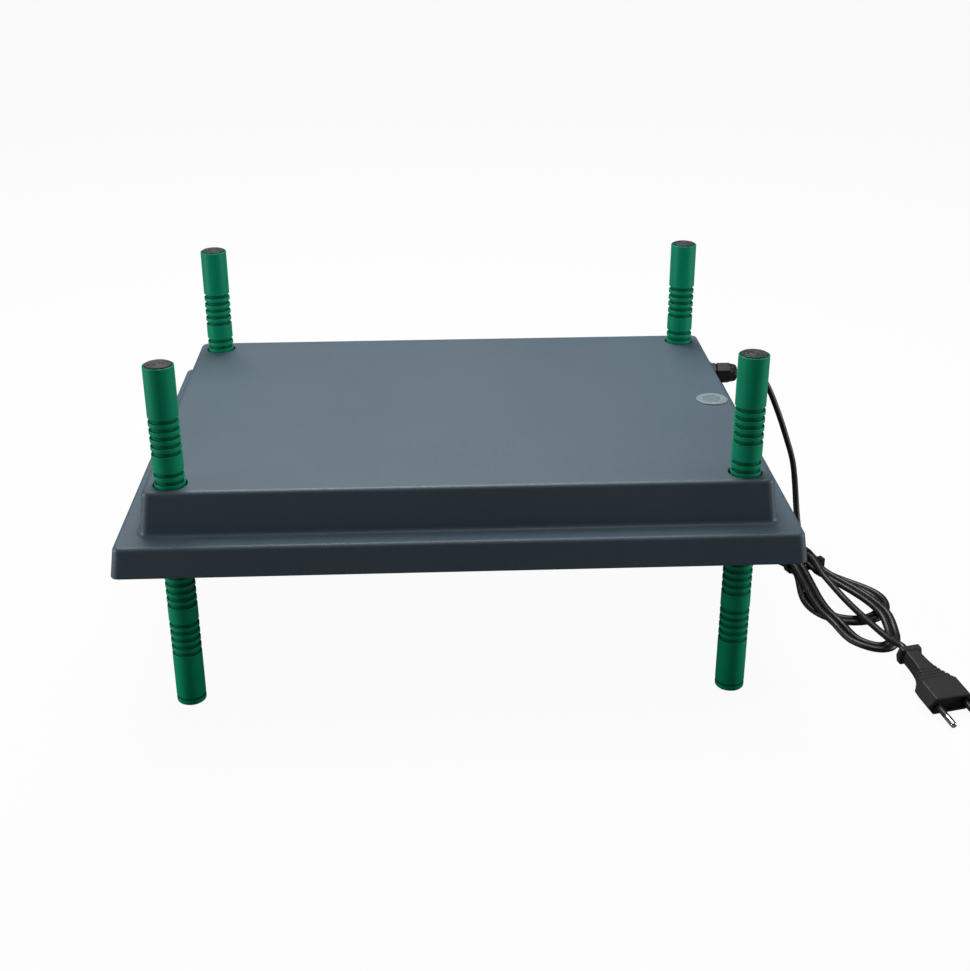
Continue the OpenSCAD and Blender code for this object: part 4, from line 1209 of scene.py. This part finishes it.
    def sweep(self, line: Sequence[Vector]) -> bpy.types.Object:
        """Sweep the flat section along a line.

        Args:
            line: The points of the lead's middle line.

        Returns:
            The flex, closed at both ends.
        """
        points, faces = [], []
        for i, here in enumerate(line):
            ahead = (line[min(i + 1, len(line) - 1)] - line[max(i - 1, 0)]).normalized()
            side = Vector((ahead.y, -ahead.x, 0)).normalized()
            up = side.cross(ahead)
            for x, z in circle(1.0, self.sides):
                points.append((here + side * x * self.width / 2 + up * z * self.height / 2) * MM)
        for i in range(len(line) - 1):
            for k in range(self.sides):
                a, b = i * self.sides + k, i * self.sides + (k + 1) % self.sides
                faces.append((a, b, b + self.sides, a + self.sides))
        faces.append(tuple(reversed(range(self.sides))))
        faces.append(tuple(range(len(points) - self.sides, len(points))))
        mesh = bpy.data.meshes.new("mains_flex")
        mesh.from_pydata(points, [], faces)
        flex = bpy.data.objects.new("mains_flex", mesh)
        bpy.context.collection.objects.link(flex)
        bpy.context.view_layer.objects.active = flex
        bpy.ops.object.mode_set(mode="EDIT")
        bpy.ops.mesh.select_all(action="SELECT")
        bpy.ops.mesh.normals_make_consistent(inside=False)
        bpy.ops.object.mode_set(mode="OBJECT")
        return flex

    def build(self, with_pieces: Sequence[bpy.types.Object]) -> None:
        """Args:
            with_pieces: The pieces on the cord: its plug, its tie and its gland. Not used.
        """
        line = self.route()
        flex = self.sweep(line)
        soften(flex, self.shade_angle)
        dress(flex, VINYL, "housing", "cord_sheath", "cord_lead", "cord_hank", "cord_tail")


@dataclass
class Plug:
    """The flat two-pin plug: a flanged rear, a ridged neck and a six-sided front block, with its pins."""

    frame: Matrix
    length: float = 53.0
    pin_r: float = 2.0
    pin_l: float = 19.0
    pin_pitch: float = 18.6
    pin_core_r: float = 1.5
    pin_root: float = 6.0
    pin_round: float = 0.9
    pin_shoulder: float = 0.1
    # Angles of the points on the pin's rounded tip
    pin_tip: tuple = (0.0, 0.35, 0.7, 1.05, 1.4)
    pin_sides: int = 32
    sleeve_l: float = 10.0
    sleeve_root: float = 2.0
    sleeve_inset: float = 0.05
    sleeve_bevel: float = 0.3
    body_shade: float = 32.0
    pin_shade: float = 50.0
    corner_r: float = 1.0
    corner_steps: int = 4
    neck: tuple[float, float] = (5.0, 36.0)
    neck_plain: tuple = (5.0, 9.0, 13.0, 17.0, 21.0)
    # Width, thickness and flat of the neck at its rear, and what each gains on the way to the block
    neck_rear: tuple[float, float, float] = (12.2, 9.6, 9.0)
    neck_gain: tuple[float, float, float] = (19.6, 3.0, 13.6)
    ridge_from: float = 22.0
    ridge_pitch: float = 3.0
    ridges: int = 4
    # Distance along a ridge and how far it stands proud, for each of its sections
    ridge_shape: tuple = ((0.0, -0.6), (0.4, 0.5), (1.7, 0.4), (2.2, -0.7))
    # Distance from the rear, width, thickness and width of the flat top, for each section
    flange: tuple = ((0.0, 14.5, 10.0, 12.0), (0.6, 16.5, 11.5, 13.5), (4.0, 16.5, 11.5, 13.5),
                     (4.6, 15.5, 10.6, 12.5))
    block: tuple = ((35.4, 30.8, 12.1, 21.8), (36.4, 31.8, 12.6, 22.6), (52.3, 32.0, 12.6, 22.6),
                    (53.0, 30.8, 11.4, 22.0), (53.0, 25.6, 8.8, 18.8), (51.4, 25.0, 8.4, 18.4))

    def section(self, x: float, width: float, thickness: float, flat: float) -> Ring:
        """Draw a six-sided section across the plug, widest at its middle.

        Args:
            x: Its distance from the rear.
            width: Its width at the middle.
            thickness: Its height.
            flat: Width of its flat top and bottom.

        Returns:
            The section's points.
        """
        corners = [(width / 2, 0), (flat / 2, thickness / 2), (-flat / 2, thickness / 2),
                   (-width / 2, 0), (-flat / 2, -thickness / 2), (flat / 2, -thickness / 2)]
        outline = rounded_polygon(corners, self.corner_r, self.corner_steps)
        return [Vector((x, y, z)) for y, z in outline]

    def neck_section(self, x: float, lift: float = 0.0) -> Ring:
        """Draw a section of the neck, which widens more and more towards the block.

        Args:
            x: Its distance from the rear.
            lift: How far it stands proud of the neck.

        Returns:
            The section's points.
        """
        share = (x - self.neck[0]) / (self.neck[1] - self.neck[0])
        width, thickness, flat = self.neck_rear
        wider, thicker, flatter = self.neck_gain
        width += wider * share ** 3 + lift / 2
        thickness += thicker * share ** 2 + lift
        return self.section(x, width, thickness, flat + flatter * share ** 3 + lift / 2)

    def neck_sections(self) -> list[Ring]:
        """Draw the neck: plain, then ridges across it, each a step up and a groove.

        Returns:
            The sections in that order.
        """
        starts = [self.ridge_from + k * self.ridge_pitch for k in range(self.ridges)]
        ridged = [self.neck_section(x + on, lift) for x in starts for on, lift in self.ridge_shape]
        return [self.neck_section(x) for x in self.neck_plain] + ridged

    def build(self) -> list[bpy.types.Object]:
        """Model the body, the pins and their sleeves.

        Returns:
            The three pieces.
        """
        rings = [self.section(*s) for s in self.flange] + self.neck_sections()
        rings += [self.section(*s) for s in self.block]
        body = put(loft("plug_moulding", rings), self.frame)
        pieces = [dress(soften(body, self.body_shade), PLUG_VINYL, "housing", "black_plastic", "plug_body")]
        tip = [(self.pin_r * math.cos(a), self.pin_l - self.pin_r * self.pin_round * (1 - math.sin(a)))
               for a in self.pin_tip]
        pin = [(self.pin_core_r, -self.pin_root), (self.pin_core_r, self.sleeve_l - self.pin_shoulder),
               (self.pin_r, self.sleeve_l)] + tip
        outside = self.pin_r - self.sleeve_inset
        sleeve = [(outside, -self.sleeve_root), (outside, self.sleeve_l - self.sleeve_bevel),
                  (self.pin_r - self.sleeve_bevel, self.sleeve_l - CLEAR)]
        pieces.append(self.pair("plug_pin_pair", pin, NICKEL, "plated_brass", "plug_pins"))
        pieces.append(self.pair("pin_sleeve_pair", sleeve, NYLON, "black_plastic", "pin_sleeves"))
        return pieces

    def pair(self, name: str, profile: Outline, finish: Finish, slot: str, node: str) -> bpy.types.Object:
        """Turn a piece for one pin, copy it for the other and join the pair.

        Args:
            name: The pair's name.
            profile: Radius and distance from the plug's face.
            finish: Its finish.
            slot: The record's material slot.
            node: The frame's node that it replaces.

        Returns:
            The pair as one piece.
        """
        first = turn_on_lathe(name, profile, self.pin_sides)
        made = [first, twin(first, f"{name}_copy")]
        for piece, side in zip(made, (-1, 1)):
            place = Matrix.Translation((self.length, side * self.pin_pitch / 2, 0))
            put(piece, self.frame @ place @ Matrix.Rotation(math.pi / 2, 4, "Y"))
        bpy.ops.object.select_all(action="DESELECT")
        for piece in made:
            piece.select_set(True)
        bpy.context.view_layer.objects.active = first
        bpy.ops.object.join()
        return dress(soften(first, self.pin_shade), finish, "housing", slot, node)


@dataclass
class PlainNodes:
    """Finishes of the frame's own nodes that stay as they are."""

    finishes: dict[Finish, list[str]] = field(default_factory=lambda: {
        SLATE_PLAIN: ["base_plate"],
        STEEL: ["base_screws", "block_screw", "cutout_tabs", "pilot_retainer"],
        ALUMINIUM: ["heat_spreader"],
        SILICONE: ["heating_cord"],
        FELT: ["insulation_mat"],
        NYLON: ["thermal_cutout", "gland_locknut", "gland_seal", "cord_tie"],
        WHITE_NYLON: ["terminal_block"],
        NICKEL: ["terminal_screws"],
        BROWN_WIRE: ["core_live", "lead_live", "lead_link"],
        BLUE_WIRE: ["core_neutral", "lead_neutral"],
        VINYL: ["pilot_leads"],
        LAMP_GLASS: ["pilot_lamp"],
    })

    def build(self, nodes: dict[str, bpy.types.Object]) -> None:
        """Put each finish on its nodes, and on the guides and snap rings of the legs.

        Args:
            nodes: The frame's nodes by name.
        """
        for finish, names in self.finishes.items():
            for name in names:
                self.finish_node(nodes[name], finish)
        for corner in Corner:
            self.finish_node(nodes[f"guide_{corner.tag}"], NYLON)
            self.finish_node(nodes[f"snap_ring_{corner.tag}"], STEEL)

    def finish_node(self, node: bpy.types.Object, finish: Finish) -> None:
        """Give one node its finish.

        Args:
            node: The node's object.
            finish: Its finish.
        """
        node.data.materials.clear()
        node.data.materials.append(finish.material())
        log.info("%s: finished as %s", node.name, finish.name)


def main(frame: dict) -> None:
    """Build the studio and every sub-assembly in order.
    """
    Studio().build()
    nodes = frame["nodes"]
    lead = MainsLead()
    on_gland = Gland().build()
    on_cord = Plug(lead.plug_frame()).build() + on_gland
    on_cord += [nodes[name] for name in ("cord_tie", "gland_locknut", "gland_seal")]
    lead.build(on_cord)
    housing = Housing()
    housing.build_cover()
    housing.build_lens()
    Legs().build()
    PlainNodes().build(nodes)


if __name__ == "__main__":
    logging.basicConfig(level=logging.INFO, format="%(name)s: %(message)s")
    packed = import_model()
    main(packed)
